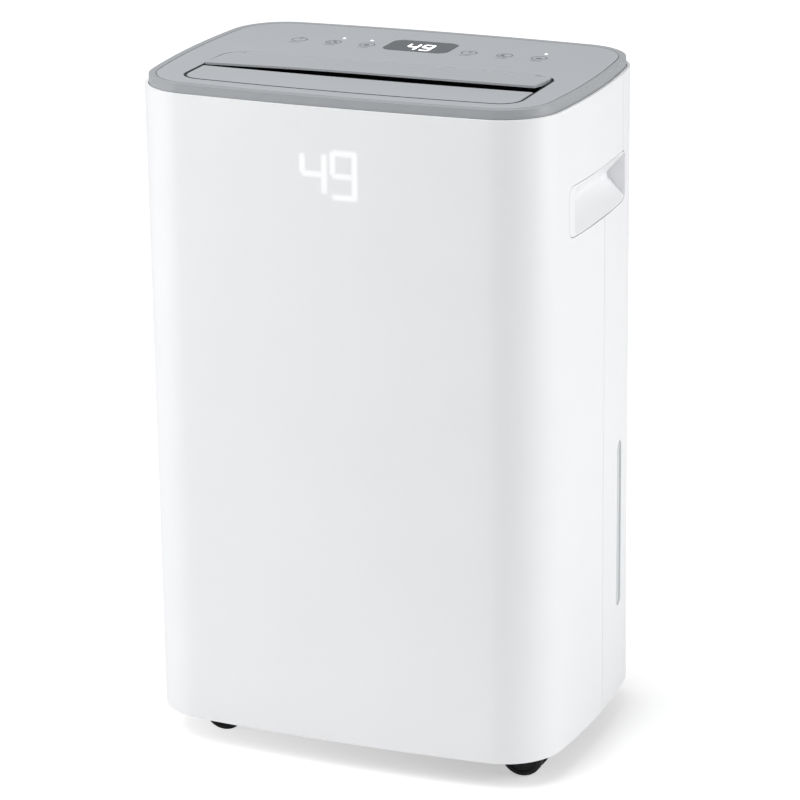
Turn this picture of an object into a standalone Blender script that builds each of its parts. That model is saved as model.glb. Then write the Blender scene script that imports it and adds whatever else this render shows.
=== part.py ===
"""Portable dehumidifier, built from separate parts.

Metres, +Z up, the front faces -Y, the floor is z = 0 and the casters stand on it.
The body is a column whose plan is four shallow bows joined by round corners.
"""

import math

import bmesh
import bpy
from mathutils import Matrix, Vector

# Overall plan and height
WIDTH = 0.366
DEPTH = 0.2584
FRONT_BOW = 2.018
SIDE_BOW = 0.738
CORNER = 0.0508
SHELL_TOP = 0.565
BEZEL_HEIGHT = 0.0066
BEZEL_SHADOW = 0.0006
HALF_WIDTH = WIDTH / 2
HALF_DEPTH = DEPTH / 2
TOP = SHELL_TOP + BEZEL_HEIGHT

# Walls and clearances
WALL = 0.0028
THIN_WALL = 0.0022
GAP = 0.0004
RUN_GAP = 0.0003
OVERSHOOT = 0.01
FAR = 0.6

# Casters, and the base that stands on them
WHEEL_R = 0.0182
WHEEL_THICK = 0.007
WHEEL_SPACING = 0.009
CASTER_TRAIL = 0.011
CASTER_SIDE = 0.0475
CASTER_END = 0.0527
CASTER_X = HALF_WIDTH - CASTER_SIDE
CASTER_Y = HALF_DEPTH - CASTER_END
AXLE_R = 0.0025
STEM_R = 0.004
STEM_LENGTH = 0.0215
FLANGE_R = 0.013
FLANGE_THICK = 0.003
WHEEL_HEADROOM = 0.0021
PAN_OVER_FLANGE = 0.001
BODY_OVER_AXLE = 0.0063
PAN_THICK = 0.003
FORK_FLANGE_Z = 2 * WHEEL_R + WHEEL_HEADROOM
STEM_TOP = FORK_FLANGE_Z + STEM_LENGTH
PAN_Z = FORK_FLANGE_Z + FLANGE_THICK + PAN_OVER_FLANGE
BODY_BOTTOM = WHEEL_R + BODY_OVER_AXLE

# Top: rim, plate, outlet slot and its two blades
RIM_WIDTH = 0.0064
LEDGE_WIDTH = 0.0045
SKIRT_DEPTH = 0.009
PLATE_THICK = 0.004
SLOT_SIDE = 0.036
SLOT_SETBACK = 0.0249
SLOT_DEPTH = 0.1075
SLOT_FRONT_R = 0.018
SLOT_REAR_R = 0.020
SLOT_HALF = HALF_WIDTH - SLOT_SIDE
SLOT_FRONT = -HALF_DEPTH + SLOT_SETBACK
SLOT_REAR = SLOT_FRONT + SLOT_DEPTH
BLADE_GAP = 0.0007
BLADE_THICK = 0.003
BLADE_AXIS_DROP = 0.0018
BLADE_PIN_R = 0.001
BLADE_PIN_GRIP = 0.0026
VANE_DEPTH = 0.0461
OUTLET_GAP = 0.0058
VANE_REAR = SLOT_FRONT + VANE_DEPTH
FLAP_FRONT = VANE_REAR + OUTLET_GAP
FLAP_REST_DEG = 3.0
FLAP_AXIS_Y = SLOT_REAR - BLADE_GAP - BLADE_AXIS_DROP + RUN_GAP
VANE_AXIS_Y = VANE_REAR - BLADE_THICK / 2
BLADE_AXIS_Z = TOP - BLADE_AXIS_DROP

# Outlet duct under the slot, with its finger guard
DUCT_DEPTH = 0.0576
DUCT_BOTTOM = TOP - DUCT_DEPTH
GUARD_OVER_FLOOR = 0.027
GUARD_THICK = 0.003
GUARD_BAR = 0.002
GUARD_BARS = 9
GUARD_Z = DUCT_BOTTOM + GUARD_OVER_FLOOR

# Touch area: display window, lit dots and their electronics
WINDOW_FROM_REAR = 0.0622
WINDOW_CENTRE = (0.001, HALF_DEPTH - WINDOW_FROM_REAR)
WINDOW_SIZE = (0.058, 0.039)
WINDOW_R = 0.009
WINDOW_THICK = 0.005
LED_ROW = WINDOW_CENTRE[1] + 0.008
LED_DOTS = ((-0.0714, LED_ROW), (-0.0462, LED_ROW), (0.1087, LED_ROW))
LED_R = 0.0013
BOARD_THICK = 0.0016
TOUCH_BOARD_DROP = 0.004
TOUCH_BOARD_HALF = HALF_WIDTH - 0.058
TOUCH_BOARD_DEPTH = 0.054
TOP_DIGIT_SIZE = (0.012, 0.022)
TOP_DIGIT_STROKE = 0.0026
TOP_DIGIT_STEP = 0.0075

# Front digits, two seven-segment figures behind the thinned front wall
DIGITS_DROP = 0.054
DIGITS_CENTRE = (0.001, SHELL_TOP - DIGITS_DROP)
DIGIT_SIZE = (0.0245, 0.039)
DIGIT_STROKE = 0.006
DIGIT_GAP = 0.0016
DIGITS_POCKET = (0.066, 0.052)
FRONT_THINNED = 0.0012

# Side handles
HANDLE_LENGTH = 0.135
HANDLE_SHIFT = 0.001
HANDLE_HEIGHT = 0.043
HANDLE_DROP = 0.065
HANDLE_FRONT = HANDLE_SHIFT - HANDLE_LENGTH / 2
HANDLE_REAR = HANDLE_SHIFT + HANDLE_LENGTH / 2
HANDLE_HIGH = SHELL_TOP - HANDLE_DROP
HANDLE_LOW = HANDLE_HIGH - HANDLE_HEIGHT
HANDLE_R = 0.009
HANDLE_DEPTH = 0.019
HANDLE_DEEPEST = HANDLE_LOW + 0.021
HANDLE_BACK = 0.003
HANDLE_FLANGE = 0.005

# Housing seam: it steps from SEAM_LOW to SEAM_HIGH behind the handle openings
SEAM_LOW = 0.010
SEAM_HIGH = 0.062
SEAM_STEP = HANDLE_DEEPEST

# Fan, in its scroll under the duct
SCROLL_R = (0.079, 0.100)
SCROLL_TONGUE_DEG = 100.0
SCROLL_FROM_FRONT = 0.0262
SCROLL_UNDER_DUCT = 0.0015
SCROLL_SHOULDER = 0.0075
SCROLL_Y = (-HALF_DEPTH + SCROLL_FROM_FRONT, SLOT_REAR - 0.0012)
SCROLL_TOP = DUCT_BOTTOM - SCROLL_UNDER_DUCT
FAN_AT = (-0.004, SCROLL_TOP - SCROLL_SHOULDER - SCROLL_R[1])
FAN_R = SCROLL_R[0] - 0.007
INLET_R = FAN_R - 0.012
FAN_DEPTH = 0.044
WHEEL_Y = (SCROLL_Y[1] - 0.010 - FAN_DEPTH, SCROLL_Y[1] - 0.010)
HUB_R = 0.009
HUB_DEPTH = 0.016
FAN_BLADES = 18
FAN_BLADE_CHORD = 0.010
FAN_BLADE_THICK = 0.0012
FAN_BLADE_LEAN_DEG = 35.0
SHAFT_R = 0.003
MOTOR_R = 0.036
MOTOR_NOSE_R = 0.014
MOTOR_Y = (SCROLL_Y[0] + THIN_WALL + 0.0006, WHEEL_Y[0] - 0.004)

# Compressor, the deck over it and the bulkhead behind it
DECK_UNDER_SCROLL = 0.0125
DECK_THICK = 0.003
DECK_Z = FAN_AT[1] - SCROLL_R[1] - DECK_UNDER_SCROLL
COMPRESSOR_R = 0.057
COMPRESSOR_ROOM = 0.0114
COMPRESSOR_FROM_CASTER = 0.0085
COMPRESSOR_AT = (
    COMPRESSOR_FROM_CASTER + COMPRESSOR_R - CASTER_X,
    -HALF_DEPTH + WALL + COMPRESSOR_ROOM + COMPRESSOR_R,
)
COMPRESSOR_Z = (PAN_Z + PAN_THICK + 0.0165, DECK_Z - 0.0475)
COMPRESSOR_DOME = 0.030
COMPRESSOR_WELD = 0.002
FOOT_CIRCLE = COMPRESSOR_R - 0.007
FEET_PLATE_THICK = 0.003
FEET_PLATE_Z = COMPRESSOR_Z[0] - RUN_GAP - FEET_PLATE_THICK
BULKHEAD_THICK = 0.0025
BULKHEAD_Y = COMPRESSOR_AT[1] + COMPRESSOR_R + 0.013
BULKHEAD_HALF = HALF_WIDTH - 0.0075
CAPACITOR_AT = (CASTER_X - 0.0505, -HALF_DEPTH + 0.0492)
CAPACITOR_R = 0.018
CAPACITOR_HEIGHT = 0.078

# Coils and pipes
COIL_SIDE = 0.055
COIL_HALF = HALF_WIDTH - COIL_SIDE
COIL_Z = (DECK_Z + DECK_THICK + 0.0265, SHELL_TOP - 0.035)
COIL_THICK = 0.026
COIL_APART = 0.006
CONDENSER_Y = SCROLL_Y[1] + 0.014
EVAPORATOR_Y = CONDENSER_Y + COIL_THICK + COIL_APART
FIN_GROOVES = 10
FIN_GROOVE_WIDTH = 0.0024
FIN_GROOVE_DEPTH = 0.004
BEND_R = 0.0095
BEND_PITCH = 0.050
BEND_TUBE_R = 0.0035
SUCTION_R = 0.005
DISCHARGE_R = 0.004
LIQUID_R = 0.003
DRIER_R = 0.007
SUCTION_RISER = (HALF_WIDTH - 0.023, COMPRESSOR_AT[1] + 0.013)
DISCHARGE_RISER = (HALF_WIDTH - 0.035, COMPRESSOR_AT[1] + 0.038)
LIQUID_RISER_X = HALF_WIDTH - 0.031
TRAY_SIDE = 0.0075
TRAY_REAR = EVAPORATOR_Y + COIL_THICK + 0.008
SPOUT_AT = (0.060, EVAPORATOR_Y + 0.012)
SPOUT_R = 0.005

# Main board, hung on the bulkhead under the deck
POWER_BOARD_SIZE = (0.062, 0.105)
POWER_BOARD_X = DISCHARGE_RISER[0] - 0.010 - POWER_BOARD_SIZE[0]
POWER_BOARD_Z = DECK_Z - 0.0125 - POWER_BOARD_SIZE[1]
POWER_BOARD_OFF = 0.014
STANDOFF_R = 0.003
STANDOFF_INSET = 0.005

# Water tank and its bay
TANK_SIDE = 0.012
BAY_SIDE = 0.0095
TANK_HALF = HALF_WIDTH - TANK_SIDE
TANK_FRONT = BULKHEAD_Y + BULKHEAD_THICK + 0.0035
TANK_LOW = STEM_TOP + 0.005
TANK_HIGH = DECK_Z - 0.0135
TANK_INSET = WALL + 0.0008
BAY_HALF = HALF_WIDTH - BAY_SIDE
BAY_LOW = PAN_Z + 0.004
BAY_HIGH = DECK_Z - 0.001
BAY_R = 0.004
PANEL_THICK = WALL + 0.0012
GRIP_HALF = 0.062
GRIP_HEIGHT = 0.042
GRIP_Z = (BAY_HIGH - 0.0215 - GRIP_HEIGHT, BAY_HIGH - 0.0215)
GRIP_DEPTH = 0.016
GRIP_AXIS_Y = HALF_DEPTH - 0.0085
GRIP_AXIS_Z = GRIP_Z[1] - 0.006
BAIL_PIN_R = 0.0016
BAIL_THICK = 0.006
LID_THICK = 0.0022
LID_HOLE_R = 0.011
LID_REAR = HALF_DEPTH - 0.0097
FLOAT_X = 0.026 - TANK_HALF
FLOAT_AXIS_Y = TANK_FRONT + 0.016
FLOAT_AXIS_Z = TANK_HIGH - 0.017
FLOAT_PIN_R = 0.0014
FLOAT_ARM_HALF = 0.0045

# Water-level window, right side, beside the tank
LEVEL_Y = (HALF_DEPTH - 0.0802, HALF_DEPTH - 0.0662)
LEVEL_Z = (TANK_LOW + 0.038, TANK_HIGH - 0.028)
LEVEL_RECESS = 0.0014
LEVEL_FLANGE = 0.003

# Rear intake and its filter
GRILLE_HALF = HALF_WIDTH - 0.045
GRILLE_Z = (DECK_Z + 0.0335, SHELL_TOP - 0.033)
GRILLE_R = 0.010
GRILLE_BORDER = 0.012
GRILLE_RIB = 0.006
SLOT_ROWS = 11
SLOT_COLUMNS = 2
SLOT_HEIGHT = 0.008
FILTER_HALF = GRILLE_HALF - 0.010
FILTER_THICK = 0.005
FILTER_Y = (HALF_DEPTH - 0.0177, HALF_DEPTH - 0.0177 + FILTER_THICK)
FILTER_INSET = 0.008
FILTER_RIB = 0.004

# Rear fittings
DRAIN_AT = (0.083 - HALF_WIDTH, DECK_Z + 0.0165)
DRAIN_R = 0.008
DRAIN_SET_IN = 0.0006
GLAND_FROM_SCREW = 0.035
GLAND_R = 0.0065
GLAND_BORE_R = 0.0038
SCREW_TOP_X = HALF_WIDTH - 0.078
SCREW_LOW_X = HALF_WIDTH - 0.063
SCREW_TOP_Z = SHELL_TOP - 0.017
SCREW_LOW_Z = PAN_Z - 0.0075
SCREW_AT = (
    (-SCREW_TOP_X, SCREW_TOP_Z),
    (SCREW_TOP_X, SCREW_TOP_Z),
    (-SCREW_LOW_X, SCREW_LOW_Z),
    (SCREW_LOW_X, SCREW_LOW_Z),
)
GLAND_AT = (SCREW_LOW_X - GLAND_FROM_SCREW, SCREW_LOW_Z)
SCREW_R = 0.0017
SCREW_HEAD_R = 0.0034

CORNER_STEPS = 6
ROUND_STEPS = 16


# Scene, collections and materials


def clear_scene():
    for obj in list(bpy.data.objects):
        bpy.data.objects.remove(obj, do_unlink=True)
    for group in list(bpy.data.collections):
        bpy.data.collections.remove(group)


def new_collection(name, hidden=False):
    group = bpy.data.collections.new(name)
    bpy.context.scene.collection.children.link(group)
    group.hide_render = hidden
    return group


clear_scene()
PARTS = new_collection("dehumidifier")
CUTTERS = new_collection("cutters", hidden=True)


def finish(name, colour, roughness, metallic=0.0, alpha=1.0):
    made = bpy.data.materials.new(name)
    made.use_nodes = True
    shader = made.node_tree.nodes["Principled BSDF"]
    shader.inputs["Base Color"].default_value = (*colour, 1.0)
    shader.inputs["Roughness"].default_value = roughness
    shader.inputs["Metallic"].default_value = metallic
    shader.inputs["Alpha"].default_value = alpha
    return made


WHITE = finish("white_housing", (0.86, 0.87, 0.88), 0.35)
LIGHT_GRAY = finish("light_gray_top", (0.48, 0.50, 0.52), 0.4)
BLACK = finish("black_plastic", (0.015, 0.015, 0.016), 0.5)
SMOKED = finish("smoked_window", (0.12, 0.13, 0.14), 0.1, alpha=0.6)
CLEAR = finish("clear_window", (0.75, 0.80, 0.84), 0.08, alpha=0.4)
TANK = finish("tank_plastic", (0.70, 0.76, 0.80), 0.3, alpha=0.7)
BOARD = finish("circuit_board", (0.03, 0.16, 0.07), 0.5)
STEEL = finish("galvanised_steel", (0.55, 0.56, 0.57), 0.35, 1.0)
ALUMINIUM = finish("coil_aluminium", (0.72, 0.73, 0.74), 0.35, 1.0)
COPPER = finish("copper", (0.72, 0.35, 0.20), 0.3, 1.0)
ENAMEL = finish("compressor_enamel", (0.02, 0.02, 0.022), 0.3)
RUBBER = finish("rubber", (0.02, 0.02, 0.02), 0.8)
FOAM = finish("float_foam", (0.80, 0.80, 0.76), 0.8)
FILTER = finish("filter_mesh", (0.22, 0.23, 0.24), 0.8)


# Outlines: lists of 2D points, counter-clockwise


def arc(centre, radius, start, end, steps):
    """Points from angle start to angle end, in radians, both included."""
    points = []
    for i in range(steps + 1):
        angle = start + (end - start) * i / steps
        points.append((centre[0] + radius * math.cos(angle), centre[1] + radius * math.sin(angle)))
    return points


def body_outline(inset=0.0):
    """The body's plan: front, corner and side arcs tangent to each other, mirrored to all four quarters."""
    front_centre = Vector((0.0, FRONT_BOW - HALF_DEPTH))
    side_centre = Vector((HALF_WIDTH - SIDE_BOW, 0.0))
    to_front = FRONT_BOW - CORNER
    to_side = SIDE_BOW - CORNER
    apart = (side_centre - front_centre).length
    along = (to_front**2 - to_side**2 + apart**2) / (2 * apart)
    across = math.sqrt(to_front**2 - along**2)
    line = (side_centre - front_centre) / apart
    middle = front_centre + line * along
    choices = [middle + Vector((-line.y, line.x)) * across * sign for sign in (1, -1)]
    corner_centre = min((c for c in choices if c.x > 0), key=lambda c: c.y)
    from_front = corner_centre - front_centre
    from_side = corner_centre - side_centre
    front_end = math.atan2(from_front.y, from_front.x)
    side_end = math.atan2(from_side.y, from_side.x)
    quarter = arc(front_centre, FRONT_BOW - inset, -math.pi / 2, front_end, 4)
    quarter += arc(corner_centre, CORNER - inset, front_end, side_end, CORNER_STEPS)[1:]
    quarter += arc(side_centre, SIDE_BOW - inset, side_end, 0.0, 3)[1:]
    rear_right = [(x, -y) for x, y in reversed(quarter[:-1])]
    right = quarter + rear_right
    left = [(-x, y) for x, y in reversed(right[1:-1])]
    return right + left


def rounded_rect(low, high, radius, along=(1, 1), steps=CORNER_STEPS):
    """A rectangle with round corners. radius is one value, or four from the low corner counter-clockwise.

    along is how many pieces the low and the high edge parallel to the first axis are split into.
    """
    radii = radius if isinstance(radius, tuple) else (radius,) * 4
    corners = ((low[0], low[1]), (high[0], low[1]), (high[0], high[1]), (low[0], high[1]))
    inward = ((1, 1), (-1, 1), (-1, -1), (1, -1))
    points = []
    for i, (corner, to, r) in enumerate(zip(corners, inward, radii)):
        centre = (corner[0] + to[0] * r, corner[1] + to[1] * r)
        start = math.pi + i * math.pi / 2
        corner_arc = arc(centre, r, start, start + math.pi / 2, steps) if r else [corner]
        if i in (1, 3):
            a, b = points[-1], corner_arc[0]
            pieces = along[i // 2]
            for k in range(1, pieces):
                share = k / pieces
                points.append((a[0] + (b[0] - a[0]) * share, a[1] + (b[1] - a[1]) * share))
        points += corner_arc
    return points


def bow(points, full_y, none_y):
    """Bend an outline to follow the body's front: fully at full_y and less towards none_y."""
    bent = []
    for x, y in points:
        share = 1.0 if none_y is None else (y - none_y) / (full_y - none_y)
        bent.append((x, y + share * x * x / (2 * FRONT_BOW)))
    return bent


def slot_outline(grow=0.0):
    """The outlet slot in the top plate, grown outwards by grow."""
    low = (-SLOT_HALF - grow, SLOT_FRONT - grow)
    high = (SLOT_HALF + grow, SLOT_REAR + grow)
    front_r, rear_r = SLOT_FRONT_R + grow, SLOT_REAR_R + grow
    points = rounded_rect(low, high, (front_r, front_r, rear_r, rear_r), along=(10, 1))
    return bow(points, low[1], high[1])


# Solids


def link(obj, paint):
    PARTS.objects.link(obj)
    if obj.type == "MESH":
        obj.data.materials.clear()
    obj.data.materials.append(paint)
    return obj


AXES = {
    "Z": Matrix.Identity(3),
    "X": Matrix(((0, 0, 1), (1, 0, 0), (0, 1, 0))),
    "Y": Matrix(((1, 0, 0), (0, 0, -1), (0, 1, 0))),
}


def mesh_from(obj):
    """Turn an object into a mesh object with its place in the mesh, and remove the first one."""
    PARTS.objects.link(obj)
    bpy.context.view_layer.update()
    evaluated = obj.evaluated_get(bpy.context.evaluated_depsgraph_get())
    mesh = bpy.data.meshes.new_from_object(evaluated)
    mesh.transform(obj.matrix_world)
    name = obj.name
    bpy.data.objects.remove(obj, do_unlink=True)
    work = bmesh.new()
    work.from_mesh(mesh)
    bmesh.ops.remove_doubles(work, verts=work.verts, dist=1e-6)
    bmesh.ops.recalc_face_normals(work, faces=work.faces)
    work.to_mesh(mesh)
    work.free()
    mesh.shade_smooth()
    mesh.set_sharp_from_angle(angle=math.radians(35))
    return bpy.data.objects.new(name, mesh)


def extruded(name, loops, low, high, axis="Z", paint=None):
    """A flat outline drawn out along an axis from low to high. Inner loops are holes.

    An outline for X is in (y, z), for Y in (x, z) and for Z in (x, y).
    """
    curve = bpy.data.curves.new(name, "CURVE")
    curve.dimensions = "2D"
    curve.fill_mode = "BOTH"
    curve.extrude = (high - low) / 2
    for loop in loops:
        spline = curve.splines.new("POLY")
        spline.points.add(len(loop) - 1)
        for point, (u, v) in zip(spline.points, loop):
            point.co = (u, v, 0.0, 1.0)
        spline.use_cyclic_u = True
    obj = bpy.data.objects.new(name, curve)
    shift = Vector([(low + high) / 2 if axis == letter else 0.0 for letter in "XYZ"])
    obj.matrix_world = Matrix.Translation(shift) @ AXES[axis].to_4x4()
    made = mesh_from(obj)
    return link(made, paint) if paint else made


def box(name, low, high, paint=None):
    work = bmesh.new()
    bmesh.ops.create_cube(work, size=1.0)
    size = [high[i] - low[i] for i in range(3)]
    middle = [(high[i] + low[i]) / 2 for i in range(3)]
    bmesh.ops.scale(work, vec=size, verts=work.verts)
    bmesh.ops.translate(work, vec=middle, verts=work.verts)
    mesh = bpy.data.meshes.new(name)
    work.to_mesh(mesh)
    work.free()
    obj = bpy.data.objects.new(name, mesh)
    return link(obj, paint) if paint else obj


def cylinder(name, centre, radius, low, high, axis="Z", paint=None, steps=ROUND_STEPS):
    """centre is the 2D place across the axis, in the same order as an outline's."""
    loop = arc(centre, radius, 0.0, 2 * math.pi, steps)[:-1]
    return extruded(name, [loop], low, high, axis, paint)


def turned(name, profile, origin, axis="Z", paint=None, steps=ROUND_STEPS):
    """A profile of (radius, height) points, from its top down its outer side, turned about the axis."""
    mesh = bpy.data.meshes.new(name)
    mesh.from_pydata([(r, 0.0, h) for r, h in profile], [(i, i + 1) for i in range(len(profile) - 1)], [])
    obj = bpy.data.objects.new(name, mesh)
    screw = obj.modifiers.new("turn", "SCREW")
    screw.steps = steps
    screw.render_steps = steps
    screw.use_merge_vertices = True
    screw.merge_threshold = 1e-5
    obj.matrix_world = Matrix.Translation(Vector(origin)) @ AXES[axis].to_4x4()
    made = mesh_from(obj)
    return link(made, paint) if paint else made


def combine(target, other, operation="DIFFERENCE"):
    """Cut, join or intersect target with a helper, which goes to the cutters."""
    for group in other.users_collection:
        group.objects.unlink(other)
    CUTTERS.objects.link(other)
    other.hide_render = True
    other.display_type = "WIRE"
    step = target.modifiers.new(operation.lower(), "BOOLEAN")
    step.operation = operation
    step.solver = "EXACT"
    step.object = other
    return target


def cut(target, *others):
    for other in others:
        combine(target, other, "DIFFERENCE")
    return target


def join(target, *others):
    for other in others:
        combine(target, other, "UNION")
    return target


def within(target, other):
    return combine(target, other, "INTERSECT")


def settled(obj):
    """The object with its Boolean steps applied, so that it can be turned without its cutters."""
    bpy.context.view_layer.update()
    evaluated = obj.evaluated_get(bpy.context.evaluated_depsgraph_get())
    obj.data = bpy.data.meshes.new_from_object(evaluated)
    obj.modifiers.clear()
    return obj


def set_origin(obj, point):
    """Put the object's origin on its joint's axis, with the mesh where it was.

    The cutters that shape it keep their world places.
    """
    obj.data.transform(Matrix.Translation(-Vector(point)))
    obj.location = point
    return obj


def body_prism(name, inset, low, high):
    return extruded(name, [body_outline(inset)], low, high)


def rear_slice(name, half_width, z_low, z_high, radius, thickness, inset=0.0):
    """A piece of the body's rear wall, following its bow: the wall ring kept inside a rounded window."""
    ring = extruded(name, [body_outline(inset), body_outline(inset + thickness)], z_low, z_high)
    window = rounded_rect((-half_width, z_low), (half_width, z_high), radius)
    return within(ring, extruded(name + "_window", [window], 0.04, FAR, "Y"))


# Housing


def seam_cutter(name, keep_front):
    """Everything behind the stepped seam, or everything in front of it."""
    low, high = SEAM_LOW, SEAM_HIGH
    if keep_front:
        line = [(low, -FAR), (FAR, -FAR), (FAR, FAR * 2), (high, FAR * 2), (high, SEAM_STEP), (low, SEAM_STEP)]
    else:
        low, high = low + GAP, high + GAP
        line = [(-FAR, -FAR), (low, -FAR), (low, SEAM_STEP), (high, SEAM_STEP)]
        line += [(high, FAR * 2), (-FAR, FAR * 2)]
    return extruded(name, [line], -FAR, FAR, "X")


def handle_outline(shrink=0.0):
    low = (HANDLE_FRONT + shrink, HANDLE_LOW + shrink)
    high = (HANDLE_REAR - shrink, HANDLE_HIGH - shrink)
    return rounded_rect(low, high, HANDLE_R - shrink)


def front_shell():
    shell = extruded("front_shell", [body_outline(), body_outline(WALL)], BODY_BOTTOM, SHELL_TOP, paint=WHITE)
    cut(shell, seam_cutter("front_seam", True))
    cut(shell, extruded("front_handle_hole", [handle_outline()], -FAR, FAR, "X"))
    half_w, half_h = DIGITS_POCKET[0] / 2, DIGITS_POCKET[1] / 2
    x, z = DIGITS_CENTRE
    low = (x - half_w, -HALF_DEPTH + FRONT_THINNED, z - half_h)
    high = (x + half_w, 0.0, z + half_h)
    return cut(shell, box("digits_pocket", low, high))


def rear_shell():
    shell = extruded("rear_shell", [body_outline(), body_outline(WALL)], BODY_BOTTOM, SHELL_TOP, paint=WHITE)
    cut(shell, seam_cutter("rear_seam", False))
    cut(shell, extruded("rear_handle_hole", [handle_outline()], -FAR, FAR, "X"))
    grille = rounded_rect((-GRILLE_HALF, GRILLE_Z[0]), (GRILLE_HALF, GRILLE_Z[1]), GRILLE_R)
    cut(shell, extruded("grille_hole", [grille], 0.05, FAR, "Y"))
    bay = rounded_rect((-BAY_HALF, BAY_LOW), (BAY_HALF, BAY_HIGH), BAY_R, steps=3)
    cut(shell, extruded("bay_hole", [bay], 0.08, FAR, "Y"))
    cut(shell, extruded("level_hole", [level_outline()], 0.1, FAR, "X"))
    cut(shell, cylinder("drain_hole", DRAIN_AT, DRAIN_R + GAP, 0.1, FAR, "Y"))
    cut(shell, cylinder("gland_hole", GLAND_AT, GLAND_R + GAP, 0.1, FAR, "Y"))
    for i, place in enumerate(SCREW_AT):
        cut(shell, cylinder(f"screw_hole_{i}", place, SCREW_R + RUN_GAP, 0.1, FAR, "Y", steps=12))
    return shell


def level_outline(grow=0.0):
    radius = (LEVEL_Y[1] - LEVEL_Y[0]) / 2 + grow
    low = (LEVEL_Y[0] - grow, LEVEL_Z[0] - grow)
    high = (LEVEL_Y[1] + grow, LEVEL_Z[1] + grow)
    return rounded_rect(low, high, radius)


def level_window():
    low, high = LEVEL_Z[0] - OVERSHOOT, LEVEL_Z[1] + OVERSHOOT
    inner = HALF_WIDTH - WALL - 0.0057
    window = body_prism("level_window", LEVEL_RECESS, low, high)
    link(window, CLEAR)
    within(window, extruded("level_pane", [level_outline(-GAP)], inner, FAR, "X"))
    flange = body_prism("level_flange", WALL + GAP, low, high)
    within(flange, extruded("level_flange_edge", [level_outline(LEVEL_FLANGE)], inner, FAR, "X"))
    return join(window, flange)


def handle_cup(name, side):
    """A scoop let into the side: a V in section, deepest at HANDLE_DEEPEST, with a flange behind the wall."""
    outer = HALF_WIDTH
    deep = outer - HANDLE_DEPTH
    reach = outer + OVERSHOOT
    ceiling_slope = (HANDLE_HIGH - HANDLE_DEEPEST) / HANDLE_DEPTH
    floor_slope = (HANDLE_DEEPEST - HANDLE_LOW) / HANDLE_DEPTH

    def wedge(label, back, y_low, y_high):
        run = reach - deep + back
        top = HANDLE_DEEPEST + run * ceiling_slope
        bottom = HANDLE_DEEPEST - run * floor_slope
        line = [(side * (deep - back), HANDLE_DEEPEST), (side * reach, bottom), (side * reach, top)]
        return extruded(label, [line], y_low, y_high, "Y")

    end_wall = THIN_WALL
    cup = wedge(name, HANDLE_BACK, HANDLE_FRONT, HANDLE_REAR)
    link(cup, WHITE)
    low, high = sorted((side * (deep - HANDLE_BACK - OVERSHOOT), side * FAR))
    within(cup, extruded(name + "_edge", [handle_outline(GAP)], low, high, "X"))
    within(cup, body_prism(name + "_skin", RUN_GAP, HANDLE_LOW - OVERSHOOT, HANDLE_HIGH + OVERSHOOT))
    flange_low = (HANDLE_FRONT - HANDLE_FLANGE, HANDLE_LOW - HANDLE_FLANGE)
    flange_high = (HANDLE_REAR + HANDLE_FLANGE, HANDLE_HIGH + HANDLE_FLANGE)
    rings = [body_outline(WALL + GAP), body_outline(WALL + GAP + THIN_WALL)]
    flange = extruded(name + "_flange", rings, HANDLE_LOW - OVERSHOOT, HANDLE_HIGH + OVERSHOOT)
    flange_edge = rounded_rect(flange_low, flange_high, HANDLE_R)
    within(flange, extruded(name + "_flange_edge", [flange_edge], low, high, "X"))
    join(cup, flange)
    return cut(cup, wedge(name + "_scoop", 0.0, HANDLE_FRONT + end_wall, HANDLE_REAR - end_wall))


# Top


def top_bezel():
    low = SHELL_TOP + BEZEL_SHADOW
    rim = extruded("top_bezel", [body_outline(), body_outline(RIM_WIDTH)], low, TOP, paint=LIGHT_GRAY)
    ledge_loops = [body_outline(WALL + 2 * GAP), body_outline(RIM_WIDTH + LEDGE_WIDTH)]
    ledge = extruded("bezel_ledge", ledge_loops, low - 0.0012, TOP - PLATE_THICK - GAP)
    skirt_loops = [body_outline(WALL + GAP), body_outline(WALL + GAP + THIN_WALL)]
    skirt = extruded("bezel_skirt", skirt_loops, low - SKIRT_DEPTH, low + OVERSHOOT / 10)
    return join(rim, ledge, skirt)


def control_panel():
    low = TOP - PLATE_THICK
    window = window_outline(GAP)
    loops = [body_outline(RIM_WIDTH + GAP), slot_outline(), window]
    for x, y in LED_DOTS:
        loops.append(arc((x, y), LED_R + RUN_GAP, 0.0, 2 * math.pi, 10)[:-1])
    plate = extruded("control_panel", loops, low, TOP, paint=LIGHT_GRAY)
    for axis_y, label in ((FLAP_AXIS_Y, "flap"), (VANE_AXIS_Y, "vane")):
        reach = blade_half_at(axis_y) + BLADE_GAP + BLADE_PIN_GRIP + RUN_GAP
        place, radius = (axis_y, BLADE_AXIS_Z), BLADE_PIN_R + RUN_GAP
        cut(plate, cylinder(label + "_sockets", place, radius, -reach, reach, "X", steps=10))
    return plate


def window_outline(grow=0.0):
    x, y = WINDOW_CENTRE
    half_w, half_d = WINDOW_SIZE[0] / 2 + grow, WINDOW_SIZE[1] / 2 + grow
    return rounded_rect((x - half_w, y - half_d), (x + half_w, y + half_d), WINDOW_R + grow)


def display_window():
    high = TOP - 0.0002
    low = high - WINDOW_THICK
    pane = extruded("display_window", [window_outline()], low, high, paint=SMOKED)
    lip = extruded("window_lip", [window_outline(0.002)], low - 0.0004, TOP - PLATE_THICK - GAP)
    return join(pane, lip)


def blade_half_at(y):
    """Half the width of the blades at depth y: the slot's, less the gap."""
    rear_centre = (SLOT_HALF - SLOT_REAR_R, SLOT_REAR - SLOT_REAR_R)
    radius = SLOT_REAR_R - BLADE_GAP
    if y <= rear_centre[1]:
        return SLOT_HALF - BLADE_GAP
    return rear_centre[0] + math.sqrt(radius**2 - (y - rear_centre[1]) ** 2)


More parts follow.
